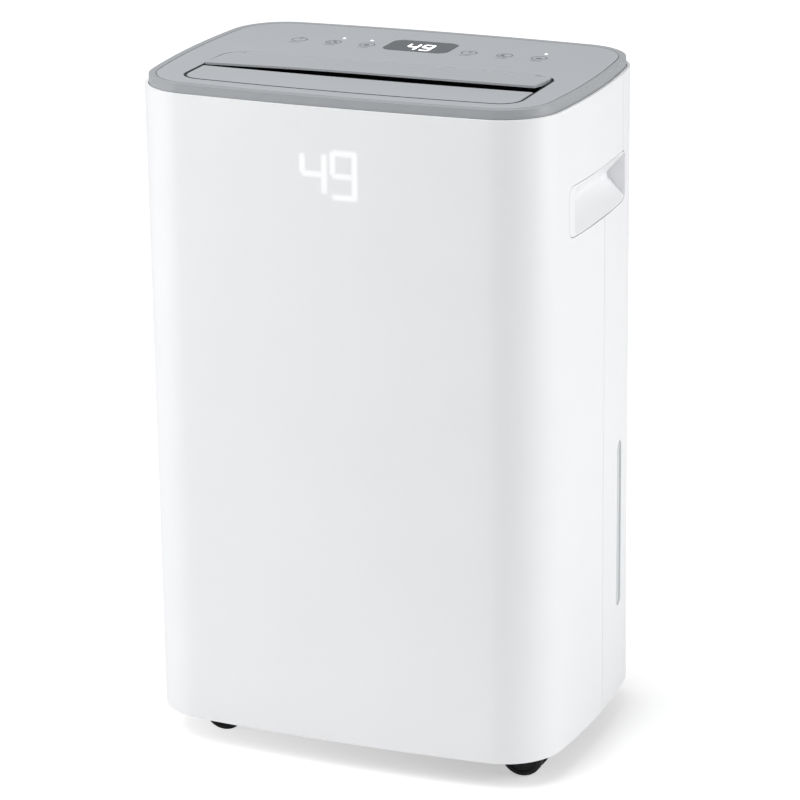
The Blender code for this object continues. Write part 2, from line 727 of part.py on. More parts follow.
def blade_pins(label, axis_y):
    """A hinge pin through both ends of a blade, at its rear edge."""
    reach = blade_half_at(axis_y) + BLADE_GAP + BLADE_PIN_GRIP
    return cylinder(label, (axis_y, BLADE_AXIS_Z), BLADE_PIN_R, -reach, reach, "X", steps=8)


def louver_flap():
    """The rear blade. Its rear edge is round about its hinge axis, and it rests a little open.

    Its rear corners are notched where they would meet the plate as it opens.
    """
    outline = slot_outline(-BLADE_GAP)
    flap = extruded("louver_flap", [outline], TOP - BLADE_THICK, TOP, paint=LIGHT_GRAY)
    low, high = TOP - OVERSHOOT, TOP + OVERSHOOT
    behind = SLOT_REAR + OVERSHOOT
    front = rounded_rect((-HALF_WIDTH, FLAP_FRONT), (HALF_WIDTH, behind), 0.0, along=(16, 1))
    within(flap, extruded("flap_front", [bow(front, FLAP_FRONT, behind)], low, high))
    rear = box("flap_rear", (-HALF_WIDTH, FLAP_AXIS_Y, low), (HALF_WIDTH, behind, high))
    nose = (FLAP_AXIS_Y, BLADE_AXIS_Z)
    cut(rear, cylinder("flap_nose", nose, BLADE_THICK / 2, -WIDTH, WIDTH, "X"))
    cut(flap, rear)
    corner = SLOT_HALF - SLOT_REAR_R + 0.002
    for side in (-1, 1):
        x_low, x_high = sorted((side * corner, side * HALF_WIDTH))
        relief_low = (x_low, FLAP_AXIS_Y - BLADE_THICK, low)
        cut(flap, box(f"flap_relief_{side}", relief_low, (x_high, behind, high)))
    edge_low = TOP - BLADE_THICK - 0.0015
    chamfer = [(FLAP_FRONT - 0.01, edge_low), (FLAP_FRONT + 0.025, edge_low), (FLAP_FRONT - 0.01, TOP - 0.0012)]
    cut(flap, extruded("flap_underside", [chamfer], -HALF_WIDTH, HALF_WIDTH, "X"))
    join(flap, blade_pins("flap_pins", FLAP_AXIS_Y))
    set_origin(settled(flap), (0.0, FLAP_AXIS_Y, BLADE_AXIS_Z))
    flap.rotation_euler.x = -math.radians(FLAP_REST_DEG)
    return flap


def front_louver():
    """The front blade, flush with the plate, hinged along its rear edge."""
    outline = slot_outline(-BLADE_GAP)
    vane = extruded("front_louver", [outline], TOP - BLADE_THICK, TOP, paint=LIGHT_GRAY)
    keep = rounded_rect((-HALF_WIDTH, -DEPTH), (HALF_WIDTH, VANE_REAR), 0.0, along=(1, 16))
    within(vane, extruded("vane_rear", [bow(keep, VANE_REAR, None)], TOP - OVERSHOOT, TOP + OVERSHOOT))
    join(vane, blade_pins("vane_pins", VANE_AXIS_Y))
    return set_origin(vane, (0.0, VANE_AXIS_Y, BLADE_AXIS_Z))


def outlet_duct():
    """The dark box under the slot. Its floor has the opening that the scroll's mouth blows through."""
    high = TOP - PLATE_THICK - GAP
    inner = 0.001
    walls = [slot_outline(THIN_WALL + inner), slot_outline(inner)]
    duct = extruded("outlet_duct", walls, DUCT_BOTTOM, high, paint=BLACK)
    hole = rounded_rect(*scroll_mouth(), 0.002, steps=2)
    floor = [slot_outline(THIN_WALL), hole]
    return join(duct, extruded("duct_floor", floor, DUCT_BOTTOM, DUCT_BOTTOM + THIN_WALL))


def outlet_guard():
    """A finger guard across the duct: bars front to back on a frame."""
    low, high = GUARD_Z, GUARD_Z + GUARD_THICK
    frame = [slot_outline(-RUN_GAP), slot_outline(-0.004)]
    guard = extruded("outlet_guard", frame, low, high, paint=BLACK)
    thinner = 0.0002
    reach = SLOT_HALF - 0.012
    for i in range(GUARD_BARS):
        x = reach * (2 * i / (GUARD_BARS - 1) - 1)
        y_low = SLOT_FRONT + 0.002 + x * x / (2 * FRONT_BOW)
        bar_low = (x - GUARD_BAR / 2, y_low, low + thinner)
        bar_high = (x + GUARD_BAR / 2, SLOT_REAR - 0.002, high - thinner)
        join(guard, box(f"guard_bar_{i}", bar_low, bar_high))
    cross = (SLOT_FRONT + SLOT_REAR) / 2
    half = SLOT_HALF - 0.002
    cross_low = (-half, cross - GUARD_BAR / 2, low)
    return join(guard, box("guard_cross", cross_low, (half, cross + GUARD_BAR / 2, high)))


def touch_board():
    top = TOP - PLATE_THICK - TOUCH_BOARD_DROP
    x, y = WINDOW_CENTRE
    half_d = TOUCH_BOARD_DEPTH / 2
    low = (-TOUCH_BOARD_HALF, y - half_d, top - BOARD_THICK)
    board = box("touch_board", low, (TOUCH_BOARD_HALF, y + half_d, top), paint=BOARD)
    gap_w, gap_d = WINDOW_SIZE[0] / 2 + 0.006, WINDOW_SIZE[1] / 2 + 0.005
    gap_low = (x - gap_w, y - gap_d, top - OVERSHOOT)
    return cut(board, box("display_gap", gap_low, (x + gap_w, y + gap_d, TOP)))


def led_light_guide():
    """A clear bar under the plate with a post up each lit dot."""
    top = TOP - PLATE_THICK - GAP
    thick = 0.0025
    margin = 0.006
    x_low, x_high = LED_DOTS[0][0] - margin, LED_DOTS[-1][0] + margin
    guide_low = (x_low, LED_ROW + thick, top - thick)
    guide = box("led_light_guide", guide_low, (x_high, LED_ROW + 0.0245, top), paint=CLEAR)
    x, y = WINDOW_CENTRE
    gap_w = WINDOW_SIZE[0] / 2 + 0.005
    gap_low = (x - gap_w, y - WINDOW_SIZE[1], top - OVERSHOOT)
    cut(guide, box("guide_gap", gap_low, (x + gap_w, y + WINDOW_SIZE[1] / 2 + 0.008, TOP)))
    foot = 0.003
    for i, (dot_x, dot_y) in enumerate(LED_DOTS):
        foot_low = (dot_x - foot, dot_y - foot, top - thick + 0.0001)
        foot_high = (dot_x + foot, dot_y + foot + 0.001, top - 0.0001)
        post = cylinder(f"led_post_{i}", (dot_x, dot_y), LED_R, top - 0.001, TOP - 0.0002, steps=10)
        join(guide, box(f"led_foot_{i}", foot_low, foot_high), post)
    return guide


def figure(label, character, centre, size, stroke, low, high, axis):
    """The lit bars of a seven-segment 4 or 9. Bars that cross differ a little in depth and length."""
    x, z = centre
    half_w, half_h = size[0] / 2, size[1] / 2
    trim = 0.0001
    uprights = [
        ((x + half_w - stroke, z - half_h), (x + half_w, z + half_h)),
        ((x - half_w, z - stroke / 2 + trim), (x - half_w + stroke, z + half_h)),
    ]
    rungs = [z]
    if character == "9":
        rungs += [z + half_h - stroke / 2, z - half_h + stroke / 2]
    bars = [(bar, low, high) for bar in uprights]
    for rung in rungs:
        low_corner = (x - half_w + trim, rung - stroke / 2 + trim * 2)
        high_corner = (x + half_w - trim, rung + stroke / 2 - trim)
        bars.append(((low_corner, high_corner), low + trim, high - trim))
    made = []
    for i, (corners, bar_low, bar_high) in enumerate(bars):
        made.append(extruded(f"{label}_{i}", [rounded_rect(*corners, 0.0)], bar_low, bar_high, axis))
    return made


def front_display_module():
    x, z = DIGITS_CENTRE
    face = -HALF_DEPTH + 2 * FRONT_THINNED
    board_low = (x - 0.031, face + 0.002, z - 0.024)
    board_high = (x + 0.031, face + 0.006, z + 0.024)
    module = box("front_display_module", board_low, board_high, paint=BOARD)
    spacing = (DIGIT_SIZE[0] + DIGIT_GAP) / 2
    for side, character in ((-1, "4"), (1, "9")):
        centre = (x + side * spacing, z)
        label = "front_bar_" + character
        join(module, *figure(label, character, centre, DIGIT_SIZE, DIGIT_STROKE, face, face + 0.0025, "Y"))
    return module


def top_display_module():
    x, y = WINDOW_CENTRE
    top = TOP - WINDOW_THICK - 0.0012
    low = (x - 0.028, y - 0.017, top - 0.007)
    module = box("top_display_module", low, (x + 0.028, y + 0.017, top - 0.0012), paint=BOARD)
    for side, character in ((-1, "4"), (1, "9")):
        centre = (x + side * TOP_DIGIT_STEP, y)
        label = "top_bar_" + character
        join(module, *figure(label, character, centre, TOP_DIGIT_SIZE, TOP_DIGIT_STROKE, top - 0.002, top, "Z"))
    return module


# Base, casters and deck


def caster_places():
    for x_side, x_name in ((-1, "left"), (1, "right")):
        for y_side, y_name in ((-1, "front"), (1, "rear")):
            yield f"caster_{y_name}_{x_name}", x_side * CASTER_X, y_side * CASTER_Y


def base_pan():
    pan = body_prism("base_pan", WALL + GAP, PAN_Z, PAN_Z + PAN_THICK)
    link(pan, BLACK)
    loops = [body_outline(WALL + GAP), body_outline(WALL + GAP + THIN_WALL)]
    join(pan, extruded("pan_rim", loops, BODY_BOTTOM + 0.004, PAN_Z + 0.001))
    for name, x, y in caster_places():
        join(pan, cylinder(name + "_boss", (x, y), STEM_R + 0.004, PAN_Z + 0.0005, STEM_TOP + 0.003))
        cut(pan, cylinder(name + "_socket", (x, y), STEM_R + RUN_GAP, 0.0, STEM_TOP + 0.0006))
    cut(pan, cylinder("pan_gland_gap", GLAND_AT, GLAND_R + 0.0024, 0.1, FAR, "Y"))
    for i, place in enumerate(SCREW_AT[2:]):
        cut(pan, cylinder(f"pan_screw_hole_{i}", place, SCREW_R + RUN_GAP, 0.1, FAR, "Y", steps=12))
    return pan


def caster_fork(name, x, y):
    """Stem, flange and the web between the wheels, with the axle's hole."""
    fork = cylinder(name + "_fork", (x, y), STEM_R, FORK_FLANGE_Z, STEM_TOP, paint=BLACK)
    join(fork, cylinder(name + "_flange", (x, y), FLANGE_R, FORK_FLANGE_Z, FORK_FLANGE_Z + FLANGE_THICK))
    half = WHEEL_SPACING / 2 - 0.0008
    axle_x = x + CASTER_TRAIL
    web = [(x - 0.009, FORK_FLANGE_Z + 0.001), (x - 0.006, WHEEL_R + 0.006)]
    web += arc((axle_x, WHEEL_R), 0.0062, math.radians(200), math.radians(360), 6)
    web += [(axle_x + 0.009, WHEEL_R + 0.010), (x + 0.009, FORK_FLANGE_Z + 0.001)]
    join(fork, extruded(name + "_web", [web], y - half, y + half, "Y"))
    cut(fork, cylinder(name + "_bore", (axle_x, WHEEL_R), AXLE_R + RUN_GAP, y - 0.02, y + 0.02, "Y", steps=16))
    return set_origin(fork, (x, y, FORK_FLANGE_Z))


def caster_wheels(name, x, y):
    """Both wheels and their axle, turned as one spool about Y."""
    inner = WHEEL_SPACING / 2
    outer = inner + WHEEL_THICK
    edge = 0.0012
    right = [(0.0, outer - 0.0008), (WHEEL_R * 0.55, outer - 0.0008), (WHEEL_R * 0.62, outer)]
    right += [(WHEEL_R - edge, outer), (WHEEL_R, outer - edge)]
    right += [(WHEEL_R, inner + edge), (WHEEL_R - edge, inner), (AXLE_R, inner)]
    left = [(r, -h) for r, h in reversed(right)]
    centre = (x + CASTER_TRAIL, y, WHEEL_R)
    return set_origin(turned(name + "_wheels", right + left, centre, "Y", RUBBER), centre)


def middle_deck():
    """The deck under the fan and coils, and the bulkhead that closes the tank bay."""
    deck = body_prism("middle_deck", WALL + GAP, DECK_Z, DECK_Z + DECK_THICK)
    link(deck, STEEL)
    low = (-BULKHEAD_HALF, BULKHEAD_Y, PAN_Z + PAN_THICK + GAP)
    high = (BULKHEAD_HALF, BULKHEAD_Y + BULKHEAD_THICK, DECK_Z + 0.001)
    join(deck, box("bulkhead", low, high))
    below, above = DECK_Z - OVERSHOOT, DECK_Z + OVERSHOOT
    cut(deck, cylinder("spout_hole", SPOUT_AT, SPOUT_R + 0.0015, below, above))
    for place, radius in ((SUCTION_RISER, SUCTION_R), (DISCHARGE_RISER, DISCHARGE_R)):
        cut(deck, cylinder("riser_hole", place, radius + 0.002, below, above))
    return deck


# Water tank


def water_tank():
    """A box whose rear corners follow the body, a rear panel that closes the bay, and a grip recess."""
    tank = body_prism("water_tank", TANK_INSET, TANK_LOW, TANK_HIGH)
    link(tank, TANK)
    within(tank, box("tank_block", (-TANK_HALF, TANK_FRONT, 0.0), (TANK_HALF, FAR, FAR)))
    hollow = body_prism("tank_hollow", TANK_INSET + THIN_WALL, TANK_LOW + THIN_WALL, TANK_HIGH + OVERSHOOT)
    room = TANK_HALF - THIN_WALL
    within(hollow, box("hollow_block", (-room, TANK_FRONT + THIN_WALL, 0.0), (room, FAR, FAR)))
    cut(tank, hollow)
    join(tank, rear_slice("tank_panel", BAY_HALF - GAP, BAY_LOW + GAP, BAY_HIGH - GAP, BAY_R, PANEL_THICK))
    rear = HALF_DEPTH
    pocket_low = (-GRIP_HALF - THIN_WALL, rear - GRIP_DEPTH - THIN_WALL, GRIP_Z[0] - THIN_WALL)
    pocket_high = (GRIP_HALF + THIN_WALL, rear - 0.003, GRIP_Z[1] + THIN_WALL)
    join(tank, box("grip_pocket", pocket_low, pocket_high))
    cut(tank, box("grip_recess", (-GRIP_HALF, rear - GRIP_DEPTH, GRIP_Z[0]), (GRIP_HALF, FAR, GRIP_Z[1])))
    reach = GRIP_HALF + THIN_WALL * 0.7
    axis = (GRIP_AXIS_Y, GRIP_AXIS_Z)
    return cut(tank, cylinder("grip_sockets", axis, BAIL_PIN_R + RUN_GAP, -reach, reach, "X", steps=12))


def tank_handle():
    """A bail that hangs in the recess in the tank's rear panel, and swings out and up."""
    half = GRIP_HALF - 0.001
    arm = 0.006
    low_z = GRIP_Z[0] + 0.004
    loop = rounded_rect((-half, low_z), (half, GRIP_AXIS_Z + 0.004), (0.012, 0.012, 0.002, 0.002))
    inner = rounded_rect((-half + arm, low_z + 0.009), (half - arm, GRIP_AXIS_Z + OVERSHOOT), 0.004, steps=3)
    front, rear = GRIP_AXIS_Y - BAIL_THICK / 2, GRIP_AXIS_Y + BAIL_THICK / 2
    handle = extruded("tank_handle", [loop], front, rear, "Y", LIGHT_GRAY)
    cut(handle, extruded("bail_gap", [inner], 0.0, FAR, "Y"))
    for side in (-1, 1):
        low, high = sorted((side * (half - 0.002), side * (GRIP_HALF + 0.0011)))
        pin = cylinder(f"bail_pin_{side}", (GRIP_AXIS_Y, GRIP_AXIS_Z), BAIL_PIN_R, low, high, "X", steps=10)
        join(handle, pin)
    return set_origin(handle, (0.0, GRIP_AXIS_Y, GRIP_AXIS_Z))


def tank_lid():
    """The lid drops into the tank's mouth. It has the hole under the drip spout, and two ears for the float."""
    low = TANK_HIGH + GAP
    lid = body_prism("tank_lid", TANK_INSET + 0.0008, low, low + LID_THICK)
    link(lid, TANK)
    within(lid, box("lid_block", (-TANK_HALF, TANK_FRONT, 0.0), (TANK_HALF, LID_REAR, FAR)))
    cut(lid, cylinder("lid_hole", SPOUT_AT, LID_HOLE_R, low - OVERSHOOT, low + OVERSHOOT))
    half = 0.005
    inner = FLOAT_ARM_HALF + 0.0007
    for side in (-1, 1):
        x_low, x_high = sorted((FLOAT_X + side * inner, FLOAT_X + side * (inner + 0.003)))
        ear_low = (x_low, FLOAT_AXIS_Y - half, FLOAT_AXIS_Z - half)
        join(lid, box(f"float_ear_{side}", ear_low, (x_high, FLOAT_AXIS_Y + half, low + 0.001)))
    place, radius = (FLOAT_AXIS_Y, FLOAT_AXIS_Z), FLOAT_PIN_R + GAP
    return cut(lid, cylinder("float_bore", place, radius, FLOAT_X - 0.02, FLOAT_X + 0.02, "X", steps=12))


def tank_float():
    """A foam float on an arm that hinges under the lid."""
    x, y, z = FLOAT_X, FLOAT_AXIS_Y, FLOAT_AXIS_Z
    arm_low = (x - FLOAT_ARM_HALF, y - 0.003, z - 0.005)
    arm = box("tank_float", arm_low, (x + FLOAT_ARM_HALF, y + 0.020, z + 0.0025), paint=FOAM)
    join(arm, box("float_block", (x - 0.014, y + 0.012, z - 0.026), (x + 0.014, y + 0.042, z)))
    join(arm, cylinder("float_pin", (y, z), FLOAT_PIN_R, x - 0.009, x + 0.009, "X", steps=10))
    return set_origin(arm, (x, y, z))


def tank_sensor():
    """The sensor that reads the float's magnet through the tank's front wall, on the bulkhead."""
    x, z = FLOAT_X, FLOAT_AXIS_Z
    low = (x - 0.010, BULKHEAD_Y - 0.0065, z - 0.012)
    return box("tank_sensor", low, (x + 0.010, BULKHEAD_Y - RUN_GAP, z + 0.012), paint=BLACK)


# Rear intake


def intake_grille():
    half, low, high = GRILLE_HALF - GAP, GRILLE_Z[0] + GAP, GRILLE_Z[1] - GAP
    grille = rear_slice("intake_grille", half, low, high, GRILLE_R - GAP, WALL)
    link(grille, WHITE)
    first = -half + GRILLE_BORDER
    bottom = low + GRILLE_BORDER
    column = (-2 * first - (SLOT_COLUMNS - 1) * GRILLE_RIB) / SLOT_COLUMNS
    pitch = (high - low - 2 * GRILLE_BORDER - SLOT_HEIGHT) / (SLOT_ROWS - 1)
    loops = []
    for row in range(SLOT_ROWS):
        z = bottom + row * pitch
        for place in range(SLOT_COLUMNS):
            x = first + place * (column + GRILLE_RIB)
            loops.append(rounded_rect((x, z), (x + column, z + SLOT_HEIGHT), 0.003, steps=1))
    cut(grille, extruded("grille_slots", loops, 0.08, FAR, "Y"))
    for side in (-1, 1):
        x_low, x_high = sorted((side * (FILTER_HALF + GAP), side * (FILTER_HALF + 0.003)))
        rail_low = (x_low, FILTER_Y[0] - 0.001, bottom)
        rail_high = (x_high, rear_surface_at(FILTER_HALF) - WALL + 0.0008, high - GRILLE_BORDER)
        join(grille, box(f"filter_rail_{side}", rail_low, rail_high))
    return grille


def air_filter():
    """A washable filter: a frame with a coarse grid that carries the fine mesh."""
    half, low, high = FILTER_HALF, GRILLE_Z[0] + FILTER_INSET, GRILLE_Z[1] - FILTER_INSET
    loops = [rounded_rect((-half, low), (half, high), 0.004, steps=2)]
    columns, rows, border = 5, 4, 0.008
    cell_w = (2 * half - 2 * border - (columns - 1) * FILTER_RIB) / columns
    cell_h = (high - low - 2 * border - (rows - 1) * FILTER_RIB) / rows
    for i in range(columns):
        for k in range(rows):
            x = -half + border + i * (cell_w + FILTER_RIB)
            z = low + border + k * (cell_h + FILTER_RIB)
            loops.append(rounded_rect((x, z), (x + cell_w, z + cell_h), 0.0))
    grid = extruded("air_filter", loops, *FILTER_Y, "Y", FILTER)
    middle = (FILTER_Y[0] + FILTER_Y[1]) / 2
    inset = border / 2
    cloth_low = (-half + inset, middle - GAP, low + inset)
    return join(grid, box("filter_cloth", cloth_low, (half - inset, middle + GAP, high - inset)))


# Refrigeration


def compressor():
    low, high = COMPRESSOR_Z
    r, dome = COMPRESSOR_R, COMPRESSOR_DOME
    weld_z = (low + high) / 2
    weld_r, weld_half = r + COMPRESSOR_WELD, 0.003
    quarter = [math.radians(18 * i) for i in range(6)]
    profile = [(r * math.sin(a), high - dome + dome * math.cos(a)) for a in quarter]
    profile += [(r, weld_z + weld_half), (weld_r, weld_z + COMPRESSOR_WELD)]
    profile += [(weld_r, weld_z - COMPRESSOR_WELD), (r, weld_z - weld_half)]
    profile += [(r * math.cos(a), low + dome / 2 * (1 - math.sin(a))) for a in quarter[:-1]]
    profile += [(0.0, low)]
    shell = turned("compressor", profile, (*COMPRESSOR_AT, 0.0), paint=ENAMEL, steps=24)
    x, y = COMPRESSOR_AT
    cover_low = (x - 0.018, y - 0.012, high - 0.016)
    return join(shell, box("terminal_cover", cover_low, (x + 0.018, y + 0.012, high + 0.012)))


def foot_places():
    x, y = COMPRESSOR_AT
    for i in range(3):
        angle = math.radians(90 + 120 * i)
        yield i + 1, x + FOOT_CIRCLE * math.cos(angle), y + FOOT_CIRCLE * math.sin(angle)


def compressor_plate():
    low, high = FEET_PLATE_Z, FEET_PLATE_Z + FEET_PLATE_THICK
    plate = cylinder("compressor_plate", COMPRESSOR_AT, COMPRESSOR_R * 0.6, low, high, paint=STEEL)
    lobe_r = 0.0115
    web_r = (FOOT_CIRCLE - lobe_r) / 2
    for i, x, y in foot_places():
        join(plate, cylinder(f"foot_lobe_{i}", (x, y), lobe_r, low + 0.0002, high - 0.0002))
        middle = ((x + COMPRESSOR_AT[0]) / 2, (y + COMPRESSOR_AT[1]) / 2)
        join(plate, cylinder(f"foot_web_{i}", middle, web_r, low + 0.0001, high - 0.0001))
    return plate


def compressor_grommet(number, x, y):
    low, high = PAN_Z + PAN_THICK + RUN_GAP, FEET_PLATE_Z - RUN_GAP
    waist = (low + high) / 2
    profile = [(0.0, high), (0.009, high), (0.009, waist + 0.002), (0.0065, waist)]
    profile += [(0.009, waist - 0.002), (0.009, low), (0.0, low)]
    return turned(f"compressor_grommet_{number}", profile, (x, y, 0.0), paint=RUBBER, steps=16)


def run_capacitor():
    low = PAN_Z + PAN_THICK + RUN_GAP
    high = low + CAPACITOR_HEIGHT
    r, edge = CAPACITOR_R, 0.0015
    profile = [(0.0, high), (r - edge, high), (r, high - edge), (r, low + edge), (r - edge, low), (0.0, low)]
    return turned("run_capacitor", profile, (*CAPACITOR_AT, 0.0), paint=ALUMINIUM)


def power_board():
    """The main board on standoffs in front of the bulkhead, with its transformer, relays and connectors."""
    x, y, z = POWER_BOARD_X, BULKHEAD_Y - POWER_BOARD_OFF, POWER_BOARD_Z
    width, height = POWER_BOARD_SIZE
    board = box("power_board", (x, y, z), (x + width, y + BOARD_THICK, z + height), paint=BOARD)
    transformer = (0.006, 0.008, 0.034, 0.030, 0.024)
    relays = ((0.044, 0.010, 0.014, 0.018, 0.016), (0.044, 0.034, 0.014, 0.018, 0.016))
    smoothing = (0.008, 0.050, 0.020, 0.030, 0.012)
    heat_sink = (0.034, 0.060, 0.022, 0.010, 0.010)
    connector = (0.010, 0.090, 0.040, 0.008, 0.008)
    for i, (dx, dz, w, h, t) in enumerate((transformer, *relays, smoothing, heat_sink, connector)):
        join(board, box(f"board_part_{i}", (x + dx, y - t, z + dz), (x + dx + w, y + GAP, z + dz + h)))
    for i, dx in enumerate((STANDOFF_INSET, width - STANDOFF_INSET)):
        for k, dz in enumerate((STANDOFF_INSET, height - STANDOFF_INSET)):
            place = (x + dx, z + dz)
            rear = BULKHEAD_Y - RUN_GAP
            join(board, cylinder(f"standoff_{i}{k}", place, STANDOFF_R, y + 0.001, rear, "Y", steps=8))
    return board


def coil(name, y_low, paint):
    """A finned block with hairpin bends at both ends."""
    y_high = y_low + COIL_THICK
    low, high = COIL_Z
    block = box(name, (-COIL_HALF, y_low, low), (COIL_HALF, y_high, high), paint=paint)
    grooves = []
    pitch = 2 * COIL_HALF / (FIN_GROOVES + 1)
    half = FIN_GROOVE_WIDTH / 2
    for i in range(FIN_GROOVES):
        x = -COIL_HALF + (i + 1) * pitch
        for face in (y_low, y_high):
            corners = (x - half, face - FIN_GROOVE_DEPTH), (x + half, face + FIN_GROOVE_DEPTH)
            grooves.append(rounded_rect(*corners, 0.0))
    cut(block, extruded(name + "_grooves", grooves, low - OVERSHOOT, high + OVERSHOOT))
    middle = (y_low + y_high) / 2
    for side, bends, lift in ((-1, 4, 0.0), (1, 3, 0.006)):
        for k in range(bends):
            z = low + 0.026 + BEND_PITCH * k + lift
            join(block, hairpin(f"{name}_bend_{side}_{k}", side, middle, z))
    return block


def hairpin(name, side, y, z):
    """A half-round tube end that stands out of a coil's end plate."""
    half = BEND_R
    points = [(side * (COIL_HALF - 0.003), y, z - half)]
    for i in range(6):
        angle = math.radians(-90 + 36 * i)
        points.append((side * (COIL_HALF + half * math.cos(angle)), y, z + half * math.sin(angle)))
    points.append((side * (COIL_HALF - 0.003), y, z + half))
    return tube(name, points, BEND_TUBE_R, sides_level=1)


def tube(name, points, radius, paint=None, sides_level=2):
    """A round tube along a polyline, with closed ends."""
    curve = bpy.data.curves.new(name, "CURVE")
    curve.dimensions = "3D"
    curve.bevel_depth = radius
    curve.bevel_resolution = sides_level
    curve.use_fill_caps = True
    spline = curve.splines.new("POLY")
    spline.points.add(len(points) - 1)
    for point, place in zip(spline.points, points):
        point.co = (*place, 1.0)
    made = mesh_from(bpy.data.objects.new(name, curve))
    return link(made, paint) if paint else made


def rounded_path(corners, radius, steps=4):
    """A polyline through the corners, each one rounded."""
    corners = [Vector(c) for c in corners]
    points = [corners[0]]
    for before, corner, after in zip(corners, corners[1:], corners[2:]):
        to_before = (before - corner).normalized()
        to_after = (after - corner).normalized()
        start, end = corner + to_before * radius, corner + to_after * radius
        for i in range(steps + 1):
            t = i / steps
            points.append(start * (1 - t) ** 2 + corner * 2 * t * (1 - t) + end * t**2)
    points.append(corners[-1])
    return points


def suction_line():
    x, y = COMPRESSOR_AT
    rx, ry = SUCTION_RISER
    coil_y = EVAPORATOR_Y + COIL_THICK / 2
    start_z = COMPRESSOR_Z[1] - 0.055
    low_z = COIL_Z[0] + 0.010
    end = COIL_HALF + RUN_GAP
    corners = [(x + COMPRESSOR_R + 0.0008, y, start_z), (rx, ry - 0.012, start_z)]
    corners += [(rx, ry, start_z + 0.025), (rx, ry, low_z), (rx, coil_y, low_z), (end, coil_y, low_z)]
    return tube("suction_line", rounded_path(corners, 0.012), SUCTION_R, COPPER)


def discharge_line():
    x, y = COMPRESSOR_AT
    rx, ry = DISCHARGE_RISER
    coil_y = CONDENSER_Y + COIL_THICK / 2
    under_deck = DECK_Z - 0.0205
    high_z = COIL_Z[1] - 0.020
    end = COIL_HALF + RUN_GAP
    start = (x + 0.034, y + 0.012, COMPRESSOR_Z[1] - 0.001)
    corners = [start, (start[0], start[1], under_deck), (rx, ry, under_deck), (rx, ry, high_z)]
    corners += [(rx, coil_y, high_z), (end, coil_y, high_z)]
    return tube("discharge_line", rounded_path(corners, 0.010), DISCHARGE_R, COPPER)


def liquid_line():
    """From the condenser's foot through the drier and back up into the evaporator."""
    x = LIQUID_RISER_X
    condenser_y = CONDENSER_Y + COIL_THICK / 2
    evaporator_y = EVAPORATOR_Y + COIL_THICK / 2
    low_z = COIL_Z[0] + 0.060
    high_z = low_z + 0.050
    end = COIL_HALF + RUN_GAP
    corners = [(end, condenser_y, low_z), (x, condenser_y, low_z), (x, condenser_y, low_z + 0.030)]
    corners += [(x, evaporator_y, high_z), (end, evaporator_y, high_z)]
    line = tube("liquid_line", rounded_path(corners, 0.008), LIQUID_R, COPPER)
    return join(line, cylinder("drier", (x, condenser_y), DRIER_R, low_z + 0.008, low_z + 0.024, steps=16))


def drip_tray():
    """A tray under both coils with a spout over the tank."""
    low, high = DECK_Z + DECK_THICK + RUN_GAP, COIL_Z[0] + 0.004
    x, y_low, y_high = COIL_HALF + TRAY_SIDE, CONDENSER_Y - 0.006, TRAY_REAR
    tray = box("drip_tray", (-x, y_low, low), (x, y_high, high), paint=BLACK)
    hollow_low = (-x + THIN_WALL, y_low + THIN_WALL, low + THIN_WALL)
    cut(tray, box("tray_hollow", hollow_low, (x - THIN_WALL, y_high - THIN_WALL, high + OVERSHOOT)))
    spout_end = DECK_Z - 0.0065
    join(tray, cylinder("spout", SPOUT_AT, SPOUT_R, spout_end, low + 0.001, steps=16))
    bore_low = spout_end - OVERSHOOT
    return cut(tray, cylinder("spout_bore", SPOUT_AT, SPOUT_R - 0.0016, bore_low, low + OVERSHOOT, steps=16))


# Fan


def scroll_line(shrink):
    """The volute: it grows from the tongue round to the outer wall, then runs straight up to the mouth."""
    start, end = math.radians(SCROLL_TONGUE_DEG), math.radians(360)
    steps = 22
    points = []
    for i in range(steps + 1):
        share = i / steps
        angle = start + (end - start) * share
        radius = SCROLL_R[0] + (SCROLL_R[1] - SCROLL_R[0]) * share - shrink
        points.append((FAN_AT[0] + radius * math.cos(angle), FAN_AT[1] + radius * math.sin(angle)))
    over = OVERSHOOT if shrink else 0.0
    points.append((points[-1][0], SCROLL_TOP + over))
    points.append((points[0][0], SCROLL_TOP + over))
    return points


def scroll_mouth():
    """The mouth's outer corners in plan, low and high."""
    outer = scroll_line(0.0)
    return (outer[0][0] + 0.001, SCROLL_Y[0] + 0.004), (outer[-2][0] - 0.001, SCROLL_Y[1] - 0.004)


def fan_scroll():
    scroll = extruded("fan_scroll", [scroll_line(0.0)], SCROLL_Y[0], SCROLL_Y[1], "Y", BLACK)
    front, rear = SCROLL_Y
    cut(scroll, extruded("scroll_hollow", [scroll_line(THIN_WALL)], front + THIN_WALL, rear - THIN_WALL, "Y"))
    inlet = cylinder("scroll_inlet", FAN_AT, INLET_R, rear - OVERSHOOT, rear + OVERSHOOT, "Y", steps=32)
    return cut(scroll, inlet)


